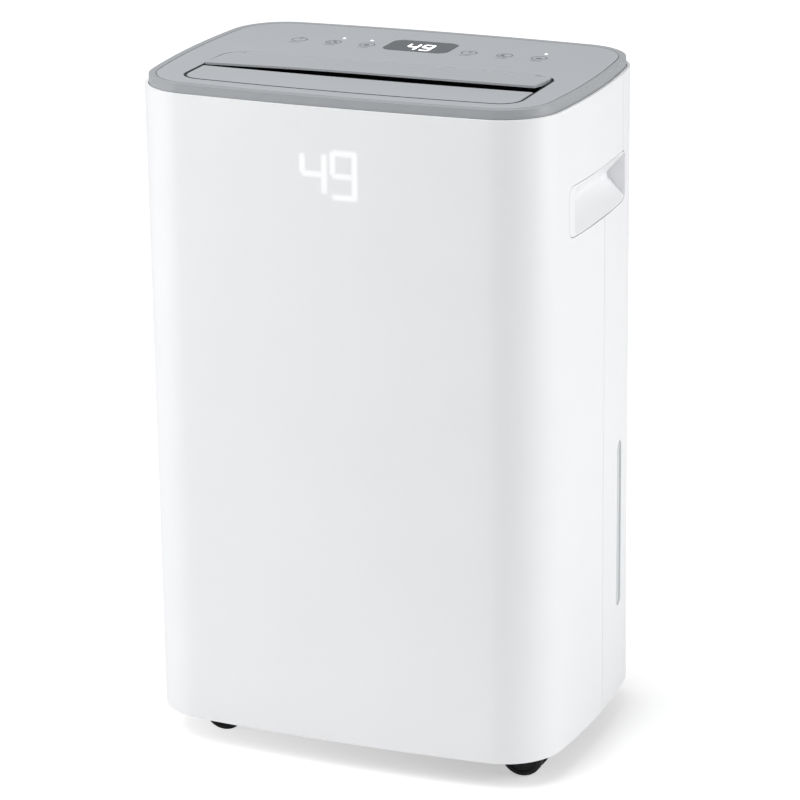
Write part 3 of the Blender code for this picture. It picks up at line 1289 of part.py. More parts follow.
def fan_wheel():
    """Back plate, ring of blades, front ring and hub."""
    y_low, y_high = WHEEL_Y
    plate = 0.002
    wheel = cylinder("fan_wheel", FAN_AT, FAN_R, y_low, y_low + plate, "Y", BLACK, steps=28)
    join(wheel, cylinder("fan_hub", FAN_AT, HUB_R, y_low + plate / 2, y_low + HUB_DEPTH, "Y"))
    outer = arc(FAN_AT, FAN_R, 0.0, 2 * math.pi, 28)[:-1]
    inner = arc(FAN_AT, FAN_R - FAN_BLADE_CHORD - 0.001, 0.0, 2 * math.pi, 28)[:-1]
    join(wheel, extruded("fan_ring", [outer, inner], y_high - plate, y_high, "Y"))
    loops = []
    for i in range(FAN_BLADES):
        angle = 2 * math.pi * i / FAN_BLADES
        lean = angle + math.radians(FAN_BLADE_LEAN_DEG)
        from_axis = FAN_R - FAN_BLADE_CHORD / 2 - 0.001
        middle = Vector(FAN_AT) + Vector((math.cos(angle), math.sin(angle))) * from_axis
        along = Vector((math.cos(lean), math.sin(lean))) * FAN_BLADE_CHORD / 2
        across = Vector((-along.y, along.x)).normalized() * FAN_BLADE_THICK / 2
        corners = ((-1, -1), (1, -1), (1, 1), (-1, 1))
        loops.append([tuple(middle + s * along + t * across) for s, t in corners])
    join(wheel, extruded("fan_blades", loops, y_low + plate / 2, y_high - plate / 2, "Y"))
    bore = cylinder("fan_bore", FAN_AT, SHAFT_R + RUN_GAP, y_low - OVERSHOOT, y_high, "Y", steps=16)
    cut(wheel, bore)
    return set_origin(wheel, (FAN_AT[0], y_low, FAN_AT[1]))


def fan_motor():
    y_low, y_high = MOTOR_Y
    body_end = y_high - 0.004
    shaft_end = WHEEL_Y[0] + HUB_DEPTH - 0.002
    motor = cylinder("fan_motor", FAN_AT, MOTOR_R, y_low, body_end, "Y", STEEL, steps=28)
    join(motor, cylinder("motor_nose", FAN_AT, MOTOR_NOSE_R, body_end - 0.001, y_high, "Y", steps=16))
    return join(motor, cylinder("motor_shaft", FAN_AT, SHAFT_R, y_high - 0.001, shaft_end, "Y", steps=12))


# Rear fittings


def rear_surface_at(x):
    """The y of the body's rear face at x, on its wide bow."""
    return HALF_DEPTH - FRONT_BOW + math.sqrt(FRONT_BOW**2 - x * x)


def drain_outlet():
    low, high = TRAY_REAR + RUN_GAP, rear_surface_at(DRAIN_AT[0]) - DRAIN_SET_IN
    pipe = cylinder("drain_outlet", DRAIN_AT, DRAIN_R, low, high, "Y", LIGHT_GRAY)
    collar_high = high - WALL - 0.0012
    join(pipe, cylinder("drain_collar", DRAIN_AT, DRAIN_R + 0.003, collar_high - 0.003, collar_high, "Y"))
    bore_r = DRAIN_R - THIN_WALL
    return cut(pipe, cylinder("drain_bore", DRAIN_AT, bore_r, low - OVERSHOOT, high + OVERSHOOT, "Y"))


def rear_turned(name, profile, place, seat, paint, steps):
    """A turned fitting whose profile runs from its tip to its outer face, as (radius, distance behind seat)."""
    x, z = place
    return turned(name, [(r, -out) for r, out in profile], (x, seat, z), "Y", paint, steps)


def drain_cap():
    seat = rear_surface_at(DRAIN_AT[0]) - DRAIN_SET_IN + RUN_GAP
    plug = -0.012
    plug_r = DRAIN_R - THIN_WALL - 2 * GAP
    face_r = DRAIN_R - 0.0002
    profile = [(0.0, plug), (plug_r, plug), (plug_r + GAP, 0.0), (face_r, 0.0)]
    profile += [(face_r, 0.0018), (face_r - 0.0006, 0.0024), (0.0, 0.0024)]
    return rear_turned("drain_cap", profile, DRAIN_AT, seat, LIGHT_GRAY, 20)


def cord_gland():
    rear = rear_surface_at(GLAND_AT[0])
    inner = rear - WALL
    gland = cylinder("cord_gland", GLAND_AT, GLAND_R, inner - 0.008, rear + 0.0012, "Y", BLACK)
    join(gland, cylinder("gland_collar", GLAND_AT, GLAND_R + 0.0018, inner - 0.0036, inner - 0.0006, "Y"))
    bore_low, bore_high = inner - 0.008 - OVERSHOOT, rear + OVERSHOOT
    return cut(gland, cylinder("gland_bore", GLAND_AT, GLAND_BORE_R, bore_low, bore_high, "Y"))


def rear_screw(number, place):
    seat = rear_surface_at(place[0]) + RUN_GAP
    profile = [(0.0, -0.0125), (SCREW_R, -0.011), (SCREW_R, 0.0), (SCREW_HEAD_R, 0.0)]
    profile += [(SCREW_HEAD_R, 0.0006), (SCREW_HEAD_R - 0.0012, 0.0014), (0.0, 0.0016)]
    return rear_turned(f"rear_screw_{number}", profile, place, seat, STEEL, 12)


def humidity_sensor():
    x, y = COIL_HALF + 0.018, TRAY_REAR + 0.012
    low, foot = DECK_Z + DECK_THICK + RUN_GAP, DECK_Z + 0.1075
    head_low, head_high = (x - 0.006, y - 0.004, foot), (x + 0.006, y + 0.004, foot + 0.024)
    stem_low, stem_high = (x - 0.003, y - 0.002, low), (x + 0.003, y + 0.002, foot + 0.001)
    sensor = box("humidity_sensor", head_low, head_high, paint=WHITE)
    return join(sensor, box("sensor_stem", stem_low, stem_high))


def build():
    front_shell()
    rear_shell()
    level_window()
    handle_cup("handle_cup_left", -1)
    handle_cup("handle_cup_right", 1)
    top_bezel()
    control_panel()
    display_window()
    louver_flap()
    front_louver()
    outlet_duct()
    outlet_guard()
    touch_board()
    led_light_guide()
    front_display_module()
    top_display_module()
    base_pan()
    for name, x, y in caster_places():
        caster_fork(name, x, y)
        caster_wheels(name, x, y)
    middle_deck()
    water_tank()
    tank_lid()
    tank_handle()
    tank_float()
    tank_sensor()
    intake_grille()
    air_filter()
    compressor()
    compressor_plate()
    for number, x, y in foot_places():
        compressor_grommet(number, x, y)
    run_capacitor()
    power_board()
    coil("condenser", CONDENSER_Y, ALUMINIUM)
    coil("evaporator", EVAPORATOR_Y, ALUMINIUM)
    suction_line()
    discharge_line()
    liquid_line()
    drip_tray()
    fan_scroll()
    fan_wheel()
    fan_motor()
    drain_outlet()
    drain_cap()
    cord_gland()
    for number, place in enumerate(SCREW_AT, 1):
        rear_screw(number, place)
    humidity_sensor()


build()
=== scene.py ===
"""The looks of a portable dehumidifier: fine surfaces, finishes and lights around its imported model.

Metres, +Z up, the front faces -Y. The body's plan is four shallow bows joined by round corners.
"""

import math

import bmesh
import bpy
from mathutils import Matrix, Vector


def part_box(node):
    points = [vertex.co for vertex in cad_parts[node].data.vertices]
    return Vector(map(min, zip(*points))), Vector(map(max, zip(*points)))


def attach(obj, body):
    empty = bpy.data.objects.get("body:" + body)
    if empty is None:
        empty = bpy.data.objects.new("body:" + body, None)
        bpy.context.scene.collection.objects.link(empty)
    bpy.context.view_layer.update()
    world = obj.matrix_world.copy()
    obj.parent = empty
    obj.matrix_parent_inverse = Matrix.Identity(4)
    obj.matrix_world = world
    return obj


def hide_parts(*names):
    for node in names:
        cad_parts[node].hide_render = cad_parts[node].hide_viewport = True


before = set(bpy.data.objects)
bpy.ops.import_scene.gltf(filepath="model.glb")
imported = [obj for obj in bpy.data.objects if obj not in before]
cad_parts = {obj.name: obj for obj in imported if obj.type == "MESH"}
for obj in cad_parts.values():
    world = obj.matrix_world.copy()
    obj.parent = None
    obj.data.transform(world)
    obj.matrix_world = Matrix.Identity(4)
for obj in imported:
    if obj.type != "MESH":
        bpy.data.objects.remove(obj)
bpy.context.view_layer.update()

# Sizes, in metres

MM = 0.001
BODY_LOW, BODY_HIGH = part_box("front_shell")[0].z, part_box("front_shell")[1].z
HALF_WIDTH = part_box("top_bezel")[1].x
HALF_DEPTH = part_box("top_bezel")[1].y
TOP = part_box("control_panel")[1].z
PLATE_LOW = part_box("control_panel")[0].z
BEZEL_LOW = BODY_HIGH - 3 * MM
FRONT_BOW = 2.018
SIDE_BOW = 0.738
CORNER = 0.0508
WALL = 2.8 * MM
THIN_WALL = 2.2 * MM
GAP = 0.4 * MM
RIM_IN = 3.4 * MM
RIM_WIDTH = 9.4 * MM
RIM_FALL = 2.0 * MM
LIP = BODY_HIGH - 0.9 * MM
FAR = 0.6

SLOT_MIDDLE = 2 * MM
SLOT_HALF = HALF_WIDTH - 37.5 * MM
SLOT_FRONT = -HALF_DEPTH + 24.9 * MM
SLOT_REAR = SLOT_FRONT + 107.5 * MM
SLOT_FRONT_R = 18 * MM
SLOT_REAR_R = 20 * MM
BLADE_GAP = 1.1 * MM
BLADE_THICK = 3 * MM
VANE_GAP = 2.1 * MM
FLAP_END_GAP = 3.6 * MM
VANE_REAR = SLOT_FRONT + 47.6 * MM
FLAP_FRONT = VANE_REAR + 5.8 * MM
FLAP_HINGE = SLOT_REAR - 2.2 * MM
TWIST_RUN, TWIST_RISE = 150 * MM, 2.9 * MM
PIN_REACH = SLOT_HALF + 1.5 * MM

WINDOW_CENTRE = (1 * MM, HALF_DEPTH - 62.2 * MM)
WINDOW_SIZE = (58 * MM, 39 * MM)
WINDOW_R = 9 * MM
DOT_ROW = WINDOW_CENTRE[1] + 8 * MM
DOT_PLACES = (-71.4 * MM, -46.2 * MM, 108.7 * MM)
DOT_R = 1.3 * MM
SYMBOL_ROW = WINDOW_CENTRE[1] - 8 * MM
DIGITS_MIDDLE = 1 * MM
DIGIT_WIDTH = 22.9 * MM
DIGIT_STROKE = 4.2 * MM
DIGIT_STEP = 13.05 * MM
DIGIT_EDGE = 2 * MM
DIGIT_GLOW = 0.22
# Each figure's side, character, foot and head
DIGITS = (
    (-1, "4", BODY_HIGH - 70.5 * MM, BODY_HIGH - 38 * MM),
    (1, "9", BODY_HIGH - 74.5 * MM, BODY_HIGH - 34.5 * MM),
)

HANDLE_Y = (-66.5 * MM, 68.5 * MM)
HANDLE_Z = (BODY_HIGH - 108 * MM, BODY_HIGH - 65 * MM)
HANDLE_R = 9 * MM
HANDLE_DEPTH = 19 * MM
HANDLE_DEEPEST = HANDLE_Z[0] + 21 * MM
SEAM_LOW, SEAM_HIGH, SEAM_STEP = 10 * MM, 62 * MM, HANDLE_DEEPEST

LEVEL_Y = (HALF_DEPTH - 80.2 * MM, HALF_DEPTH - 66.2 * MM)
LEVEL_Z = (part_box("water_tank")[0].z + 56.5 * MM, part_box("water_tank")[1].z - 40 * MM)
BAY_HALF = HALF_WIDTH - 9.5 * MM
BAY_Z = (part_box("water_tank")[0].z - GAP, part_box("water_tank")[1].z + GAP)
GRILLE_HALF = HALF_WIDTH - 45 * MM
GRILLE_Z = (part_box("intake_grille")[0].z - GAP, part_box("intake_grille")[1].z + GAP)

CASTERS = [
    f"caster_{row}_{side}"
    for side in ("left", "right")
    for row in ("front", "rear")
]


# Hand modelling: each helper is a few operators used on one object


def only(obj):
    """Select this object alone, make it active and leave edit mode."""
    if bpy.context.mode != "OBJECT":
        bpy.ops.object.mode_set(mode="OBJECT")
    bpy.ops.object.select_all(action="DESELECT")
    obj.select_set(True)
    bpy.context.view_layer.objects.active = obj


def pick(obj, test):
    """In edit mode, select the edges whose two ends pass the test."""
    only(obj)
    bpy.ops.object.mode_set(mode="EDIT")
    bpy.ops.mesh.select_mode(type="EDGE")
    bpy.ops.mesh.select_all(action="DESELECT")
    mesh = bmesh.from_edit_mesh(obj.data)
    for edge in mesh.edges:
        edge.select_set(bool(test(edge.verts[0].co, edge.verts[1].co)))
    bmesh.update_edit_mesh(obj.data)


def whole(obj):
    """Open the object in edit mode with all of its mesh selected."""
    only(obj)
    bpy.ops.object.mode_set(mode="EDIT")
    bpy.ops.mesh.select_all(action="SELECT")


def started(name, place):
    """A new object of one point, in edit mode, for an outline that is drawn from there."""
    if bpy.context.mode != "OBJECT":
        bpy.ops.object.mode_set(mode="OBJECT")
    bpy.ops.object.select_all(action="DESELECT")
    bpy.ops.mesh.primitive_plane_add(size=MM)
    obj = bpy.context.object
    obj.name = name
    bpy.ops.object.mode_set(mode="EDIT")
    bpy.ops.mesh.select_mode(type="VERT")
    bpy.ops.mesh.select_all(action="SELECT")
    bpy.ops.mesh.merge(type="CENTER")
    bpy.ops.transform.translate(value=place)
    return obj


def turned_out():
    """Turn every face outwards and leave edit mode."""
    bpy.ops.mesh.normals_make_consistent(inside=False)
    bpy.ops.object.mode_set(mode="OBJECT")


PLANES = {
    "Z": (lambda u, v, w: Vector((u, v, w)), (0, 0, 1)),
    "X": (lambda u, v, w: Vector((w, u, v)), (1, 0, 0)),
    "Y": (lambda u, v, w: Vector((u, w, v)), (0, -1, 0)),
}


def traced(name, outline, low, high, axis="Z"):
    """A solid drawn by hand: a point is spun and extruded round the outline, which is filled and pulled
    out from low to high.

    An outline is its start and its strokes: (centre, angle, steps) for an arc, (end, steps) for a line.
    """
    place, turn = PLANES[axis]
    start, strokes = outline
    obj = started(name, place(*start, low))
    here = Vector(start)
    for stroke in strokes:
        if len(stroke) == 3:
            centre, angle, steps = stroke
            bpy.ops.mesh.spin(steps=steps, angle=-angle, center=place(*centre, low), axis=turn)
            here = Vector(centre) + Matrix.Rotation(angle, 2) @ (here - Vector(centre))
        else:
            end, steps = Vector(stroke[0]), stroke[1]
            step = place(*(end - here) / steps, 0.0)
            for _ in range(steps):
                bpy.ops.mesh.extrude_region_move(TRANSFORM_OT_translate={"value": step})
            here = end
    bpy.ops.mesh.select_all(action="SELECT")
    bpy.ops.mesh.remove_doubles(threshold=2e-6)
    bpy.ops.mesh.edge_face_add()
    bpy.ops.mesh.extrude_region_move(TRANSFORM_OT_translate={"value": place(0.0, 0.0, high - low)})
    bpy.ops.mesh.select_all(action="SELECT")
    turned_out()
    return obj


def turned(name, profile, origin, axis="Z", steps=48):
    """A profile of (radius, height) points, drawn point by point and spun all the way round the axis."""
    place, turn = {
        "Z": (lambda r, h: Vector((r, 0, h)), (0, 0, 1)),
        "Y": (lambda r, h: Vector((r, h, 0)), (0, 1, 0)),
    }[axis]
    obj = started(name, Vector(origin) + place(*profile[0]))
    for before, after in zip(profile, profile[1:]):
        step = place(*after) - place(*before)
        bpy.ops.mesh.extrude_region_move(TRANSFORM_OT_translate={"value": step})
    bpy.ops.mesh.select_all(action="SELECT")
    bpy.ops.mesh.spin(steps=steps, angle=2 * math.pi, center=origin, axis=turn)
    bpy.ops.mesh.select_all(action="SELECT")
    bpy.ops.mesh.remove_doubles(threshold=5e-6)
    turned_out()
    return obj


def softened(obj, width, test, segments=3):
    """Round off the edges that pass the test."""
    pick(obj, test)
    bpy.ops.mesh.bevel(offset=width, segments=segments, affect="EDGES", clamp_overlap=True)
    bpy.ops.object.mode_set(mode="OBJECT")
    return obj


def level(value, axis=2):
    """A test for edges that lie at one height along an axis."""
    return lambda a, b: abs(a[axis] - value) < 1e-5 and abs(b[axis] - value) < 1e-5


def boolean(target, other, operation):
    only(target)
    bpy.ops.object.modifier_add(type="BOOLEAN")
    step = target.modifiers[-1]
    step.operation = operation
    step.object = other
    bpy.ops.object.modifier_apply(modifier=step.name)
    bpy.data.objects.remove(other, do_unlink=True)
    return target


def cut(target, other):
    return boolean(target, other, "DIFFERENCE")


def keep(target, other):
    return boolean(target, other, "INTERSECT")


def join(target, other):
    return boolean(target, other, "UNION")


def copied(obj, name):
    """A copy with its own mesh."""
    only(obj)
    bpy.ops.object.duplicate()
    made = bpy.context.object
    made.name = name
    return made


def mirrored(obj, name):
    """A copy for the other side: the mesh is mirrored in x and its faces are turned out again."""
    made = copied(obj, name)
    whole(made)
    bpy.ops.transform.resize(value=(-1, 1, 1), center_override=(0, 0, 0))
    turned_out()
    return made


def edges_eased(obj, width, segments, angle):
    """A small radius on every sharp edge, with the flats kept flat in their shading."""
    only(obj)
    bpy.ops.object.modifier_add(type="BEVEL")
    step = obj.modifiers[-1]
    step.width = width
    step.segments = segments
    step.limit_method = "ANGLE"
    step.angle_limit = math.radians(angle)
    bpy.ops.object.modifier_apply(modifier=step.name)
    return obj


def done(obj, body, slot, paint, *nodes, smooth=32):
    """Give a finished piece its shading, finish and body, and hide the nodes it stands for. Its slot is not
    used.
    """
    whole(obj)
    bpy.ops.mesh.remove_doubles(threshold=2e-6)
    bpy.ops.object.mode_set(mode="OBJECT")
    bpy.ops.object.shade_smooth_by_angle(angle=math.radians(smooth))
    bpy.ops.object.modifier_add(type="WEIGHTED_NORMAL")
    step = obj.modifiers[-1]
    step.keep_sharp = True
    bpy.ops.object.modifier_apply(modifier=step.name)
    obj.data.materials.clear()
    obj.data.materials.append(paint)
    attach(obj, body)
    if nodes:
        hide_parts(*nodes)
    return obj


# Outlines


def body_outline(inset=0.0):
    """The body's plan: front, corner, side and rear arcs, each tangent to the next."""
    front = Vector((0.0, FRONT_BOW - HALF_DEPTH))
    side = Vector((HALF_WIDTH - SIDE_BOW, 0.0))
    to_front, to_side = FRONT_BOW - CORNER, SIDE_BOW - CORNER
    apart = (side - front).length
    along = (to_front**2 - to_side**2 + apart**2) / (2 * apart)
    line = (side - front) / apart
    across = Vector((-line.y, line.x)) * math.sqrt(to_front**2 - along**2)
    middle = front + line * along
    corner = min((middle + across, middle - across), key=lambda c: (c.x < 0, c.y))
    front_turn = math.atan2(corner.y - front.y, corner.x - front.x) + math.pi / 2
    side_turn = -math.atan2(corner.y - side.y, corner.x - side.x)
    corner_turn = math.pi / 2 - front_turn - side_turn
    x, y = corner
    strokes = [
        (front, front_turn, 20), ((x, y), corner_turn, 22), (side, 2 * side_turn, 28),
        ((x, -y), corner_turn, 22), ((0.0, -front.y), 2 * front_turn, 40), ((-x, -y), corner_turn, 22),
        ((-side.x, 0.0), 2 * side_turn, 28), ((-x, y), corner_turn, 22), (front, front_turn, 20),
    ]
    return (0.0, inset - HALF_DEPTH), strokes


def block(name, inset, low, high):
    return traced(name, body_outline(inset), low, high)


def rounded(low, high, radius, steps=8, across=1):
    """A rectangle with round corners. radius is one value, or four from the low corner counter-clockwise."""
    r = radius if isinstance(radius, tuple) else (radius,) * 4
    quarter = math.pi / 2
    start = (low[0] + r[0], low[1])
    strokes = [((high[0] - r[1], low[1]), across), ((high[0] - r[1], low[1] + r[1]), quarter, steps)]
    strokes += [((high[0], high[1] - r[2]), 1), ((high[0] - r[2], high[1] - r[2]), quarter, steps)]
    strokes += [((low[0] + r[3], high[1]), across), ((low[0] + r[3], high[1] - r[3]), quarter, steps)]
    strokes += [((low[0], low[1] + r[0]), 1), ((low[0] + r[0], low[1] + r[0]), quarter, steps)]
    return start, strokes


def plain(low, high, across=1):
    """A rectangle with square corners."""
    return low, [((high[0], low[1]), across), (high, 1), ((low[0], high[1]), across), (low, 1)]


def bowed(obj, full_y, none_y):
    """Bend a piece in plan to follow the body's front: fully at full_y and less towards none_y."""
    for vertex in obj.data.vertices:
        share = 1.0 if none_y is None else (vertex.co.y - none_y) / (full_y - none_y)
        vertex.co.y += share * vertex.co.x**2 / (2 * FRONT_BOW)
    return obj


def slot_block(name, grow, low, high):
    """The outlet slot in the top plate, grown outwards by grow, as a solid."""
    front_r, rear_r = SLOT_FRONT_R + grow, SLOT_REAR_R + grow
    near = (SLOT_MIDDLE - SLOT_HALF - grow, SLOT_FRONT - grow)
    far = (SLOT_MIDDLE + SLOT_HALF + grow, SLOT_REAR + grow)
    outline = rounded(near, far, (front_r, front_r, rear_r, rear_r), 14, across=40)
    return bowed(traced(name, outline, low, high), SLOT_FRONT - grow, SLOT_REAR + grow)


def disc(name, place, radius, low, high, axis="Z", steps=32):
    x, y = place
    return traced(name, ((x + radius, y), [((x, y), 2 * math.pi, steps)]), low, high, axis)


# Finishes


def linear(code):
    """The linear colour of an sRGB hex code such as 9EA2A6."""
    parts = [int(code[i:i + 2], 16) / 255 for i in (0, 2, 4)]
    return (*[c / 12.92 if c <= 0.04045 else ((c + 0.055) / 1.055) ** 2.4 for c in parts], 1.0)


def add(tree, kind, inputs=None, **settings):
    """Add a node with its settings. An input is a value or another node's output socket."""
    made = tree.nodes.new(kind)
    for key, value in settings.items():
        setattr(made, key, value)
    for socket, value in (inputs or {}).items():
        if isinstance(value, bpy.types.NodeSocket):
            tree.links.new(value, made.inputs[socket])
        else:
            made.inputs[socket].default_value = value
    return made


def new_finish(name, **inputs):
    """A material with a Principled shader, its Object coordinates and its constants set."""
    made = bpy.data.materials.new(name)
    made.use_nodes = True
    tree = made.node_tree
    shader = tree.nodes["Principled BSDF"]
    for socket, value in inputs.items():
        shader.inputs[socket.replace("_", " ")].default_value = value
    place = add(tree, "ShaderNodeTexCoord").outputs["Object"]
    return made, tree, shader, place


def mixed(tree, share, first, second):
    """One colour or the other by a share from 0 to 1. Each is a linear colour or a socket."""
    made = add(tree, "ShaderNodeMix", data_type="RGBA")
    for socket, value in ((made.inputs[0], share), (made.inputs[6], first), (made.inputs[7], second)):
        if isinstance(value, bpy.types.NodeSocket):
            tree.links.new(value, socket)
        else:
            socket.default_value = value
    return made.outputs[2]


def between(tree, share, low, high):
    """A value from low to high by a share from 0 to 1."""
    made = add(tree, "ShaderNodeMapRange", {"Value": share})
    made.inputs["To Min"].default_value = low
    made.inputs["To Max"].default_value = high
    return made.outputs["Result"]


def faced(tree, shader, colour, gloss=None, bump=None):
    """Link the colour, and where they are given the (share, low, high) of the roughness and the
    (height, distance, strength) of the bump."""
    tree.links.new(colour, shader.inputs["Base Color"])
    if gloss:
        tree.links.new(between(tree, *gloss), shader.inputs["Roughness"])
    if bump:
        height, distance, strength = bump
        made = add(tree, "ShaderNodeBump", {"Height": height, "Distance": distance, "Strength": strength})
        tree.links.new(made.outputs["Normal"], shader.inputs["Normal"])


def moulded(name, light, dark, grain, roughness, depth, **constants):
    """Moulded plastic: a spark-eroded grain in the surface, and faint flow shades in the colour.

    grain is the size of its grain in metres, and depth the height that the bump stands for.
    """
    made, tree, shader, place = new_finish(name, **constants)
    flow = add(tree, "ShaderNodeTexNoise", {"Vector": place, "Scale": 9.0, "Detail": 3.0})
    fine = add(tree, "ShaderNodeTexNoise", {"Vector": place, "Scale": 1 / grain, "Detail": 2.0})
    colour = mixed(tree, flow.outputs["Fac"], linear(dark), linear(light))
    fac = fine.outputs["Fac"]
    faced(tree, shader, colour, (fac, roughness - 0.05, roughness + 0.05), (fac, depth, 0.5))
    return made


def maths(tree, operation, first, second=0.0):
    return add(tree, "ShaderNodeMath", {0: first, 1: second}, operation=operation).outputs[0]


def digit_bars(character, centre, size, stroke):
    """The lit bars of a seven-segment 4 or 9, as (middle, half width, half height)."""
    x, z = centre
    half_w, half_h, half = size[0] / 2, size[1] / 2, stroke / 2
    bars = [
        ((x + half_w - half, z), half, half_h - 0.3 * half),
        ((x - half_w + half, z + half_h / 2 - half / 3), half, half_h / 2 - half / 3),
        ((x, z - half / 3), half_w - half, half * 0.9),
    ]
    if character == "9":
        bars += [((x, z + half_h - half), half_w - half, half), ((x, z - half_h + half), half_w - half, half)]
    return bars


def housing_white():
    """ABS, injection moulded in white with a satin face. The front is thin over the room figures, which glow
    through it with a soft edge, so the same material carries their light."""
    made = moulded("abs_moulded_satin_white", "F4F5F6", "F0F1F3", 0.9 * MM, 0.34, 0.02 * MM)
    tree = made.node_tree
    shader = tree.nodes["Principled BSDF"]
    shader.inputs["IOR"].default_value = 1.53
    place = add(tree, "ShaderNodeTexCoord").outputs["Object"]
    axes = add(tree, "ShaderNodeSeparateXYZ", {"Vector": place})
    glow = 0.0
    for side, character, low, high in DIGITS:
        centre = (DIGITS_MIDDLE + side * DIGIT_STEP, (low + high) / 2)
        for middle, half_w, half_h in digit_bars(character, centre, (DIGIT_WIDTH, high - low), DIGIT_STROKE):
            shares = []
            for axis, at, half in (("X", middle[0], half_w), ("Z", middle[1], half_h)):
                far = maths(tree, "ABSOLUTE", maths(tree, "SUBTRACT", axes.outputs[axis], at))
                soft = add(tree, "ShaderNodeMapRange", {"Value": far}, interpolation_type="SMOOTHSTEP")
                soft.inputs["From Min"].default_value = half + DIGIT_EDGE
                soft.inputs["From Max"].default_value = half - DIGIT_EDGE
                shares.append(soft.outputs["Result"])
            glow = maths(tree, "MAXIMUM", glow, maths(tree, "MULTIPLY", *shares))
    ahead = maths(tree, "LESS_THAN", axes.outputs["Y"], -HALF_DEPTH + 2 * MM)
    strength = maths(tree, "MULTIPLY", maths(tree, "MULTIPLY", glow, ahead), DIGIT_GLOW)
    shader.inputs["Emission Color"].default_value = linear("FFFFFF")
    tree.links.new(strength, shader.inputs["Emission Strength"])
    return made


def lit(name, colour, strength):
    """A polycarbonate light diffuser, lit from behind: frosted, and uneven with its grain."""
    made, tree, shader, place = new_finish(name, Roughness=0.4, Emission_Color=linear(colour))
    grain = add(tree, "ShaderNodeTexNoise", {"Vector": place, "Scale": 1 / (0.8 * MM)})
    power = between(tree, grain.outputs["Fac"], strength * 0.9, strength * 1.1)
    tree.links.new(power, shader.inputs["Emission Strength"])
    shader.inputs["Base Color"].default_value = linear("F2F4F6")
    return made


def smoked_pane():
    """PMMA, cast and tinted gray, polished: dark, deep and glossy, with the faintest orange peel."""
    made, tree, shader, place = new_finish("pmma_polished_smoked", IOR=1.49, Specular_IOR_Level=0.7)
    peel = add(tree, "ShaderNodeTexNoise", {"Vector": place, "Scale": 1 / (6 * MM), "Detail": 1.0})
    colour = mixed(tree, peel.outputs["Fac"], linear("50555A"), linear("5A5F64"))
    fac = peel.outputs["Fac"]
    faced(tree, shader, colour, (fac, 0.07, 0.12), (fac, 0.02 * MM, 0.2))
    return made


def see_through(name, light, dark, roughness, alpha, wave):
    """A clear moulding: tinted, see-through in part, with soft flow waves of the given size in its face."""
    made, tree, shader, place = new_finish(name, IOR=1.57, Alpha=alpha)
    flow = add(tree, "ShaderNodeTexNoise", {"Vector": place, "Scale": 1 / wave, "Detail": 2.0})
    colour = mixed(tree, flow.outputs["Fac"], linear(dark), linear(light))
    fac = flow.outputs["Fac"]
    faced(tree, shader, colour, (fac, roughness - 0.03, roughness + 0.05), (fac, 0.05 * MM, 0.3))
    return made


def rolled_zinc():
    """Steel sheet, hot-dip galvanised: flat zinc crystals a few millimetres across, each its own gray."""
    made, tree, shader, place = new_finish("steel_galvanised", Metallic=1.0)
    crystals = add(tree, "ShaderNodeTexVoronoi", {"Vector": place, "Scale": 1 / (7 * MM)})
    shade = add(tree, "ShaderNodeSeparateColor", {"Color": crystals.outputs["Color"]})
    colour = mixed(tree, shade.outputs[0], linear("A9ADB0"), linear("C4C8CB"))
    faced(tree, shader, colour, (shade.outputs[1], 0.28, 0.48))
    return made


def coil_fins():
    """Aluminium fins pressed on tubes, 1.6 mm apart: fine bright lines that run up the coil, with dark bands
    between them that are painted shade for the gaps.
    """
    made, tree, shader, place = new_finish("aluminium_rolled_fins", Metallic=1.0)
    fins = add(tree, "ShaderNodeTexWave", {"Vector": place, "Scale": 1 / (20 * 1.6 * MM)})
    dust = add(tree, "ShaderNodeTexNoise", {"Vector": place, "Scale": 60.0, "Detail": 4.0})
    bright = mixed(tree, dust.outputs["Fac"], linear("C9CCCE"), linear("B4B8BB"))
    # The dark colour between the fin lines is painted shade.
    colour = mixed(tree, fins.outputs["Fac"], linear("6E7275"), bright)
    faced(tree, shader, colour, bump=(fins.outputs["Fac"], 0.5 * MM, 1.0))
    shader.inputs["Roughness"].default_value = 0.34
    return made


def drawn_copper():
    """Copper tube, drawn and brazed: warm and bright, with browner bloom from the heat."""
    made, tree, shader, place = new_finish("copper_drawn_tube", Metallic=1.0)
    bloom = add(tree, "ShaderNodeTexNoise", {"Vector": place, "Scale": 35.0, "Detail": 5.0, "Roughness": 0.6})
    colour = mixed(tree, bloom.outputs["Fac"], linear("B8693F"), linear("DC9A74"))
    faced(tree, shader, colour, (bloom.outputs["Fac"], 0.2, 0.45))
    return made


def solder_mask():
    """Glass-epoxy board under green solder mask: copper tracks 1.2 mm wide show through as lighter lines."""
    made, tree, shader, place = new_finish("glass_epoxy_solder_mask", Coat_Weight=0.5)
    tracks = add(tree, "ShaderNodeTexBrick", {"Vector": place, "Scale": 1 / (12 * MM)})
    tracks.inputs["Mortar Size"].default_value = 0.05
    tracks.inputs["Color1"].default_value = linear("1E5B35")
    tracks.inputs["Color2"].default_value = linear("1A5230")
    tracks.inputs["Mortar"].default_value = linear("3E8A55")
    tree.links.new(tracks.outputs["Color"], shader.inputs["Base Color"])
    shader.inputs["Roughness"].default_value = 0.38
    return made


def filter_net():
    """Nylon net, woven 1.8 mm apart so that it shows: gray threads over and under, and dark holes between
    them that are painted shade.
    """
    made, tree, shader, place = new_finish("nylon_woven_net")
    weave_and_hole_shade = None
    for direction in ("X", "Z"):
        threads = add(tree, "ShaderNodeTexWave", {"Vector": place, "Scale": 1 / (20 * 1.8 * MM)})
        threads.bands_direction = direction
        weave_and_hole_shade = threads.outputs["Fac"] if weave_and_hole_shade is None else add(
            tree, "ShaderNodeMath", {0: weave_and_hole_shade, 1: threads.outputs["Fac"]}, operation="MAXIMUM"
        ).outputs[0]
    # The near-black between the threads is painted shade for the holes.
    colour = mixed(tree, weave_and_hole_shade, linear("1D1F21"), linear("6B7074"))
    faced(tree, shader, colour, bump=(weave_and_hole_shade, 0.4 * MM, 1.0))
    shader.inputs["Roughness"].default_value = 0.7
    return made


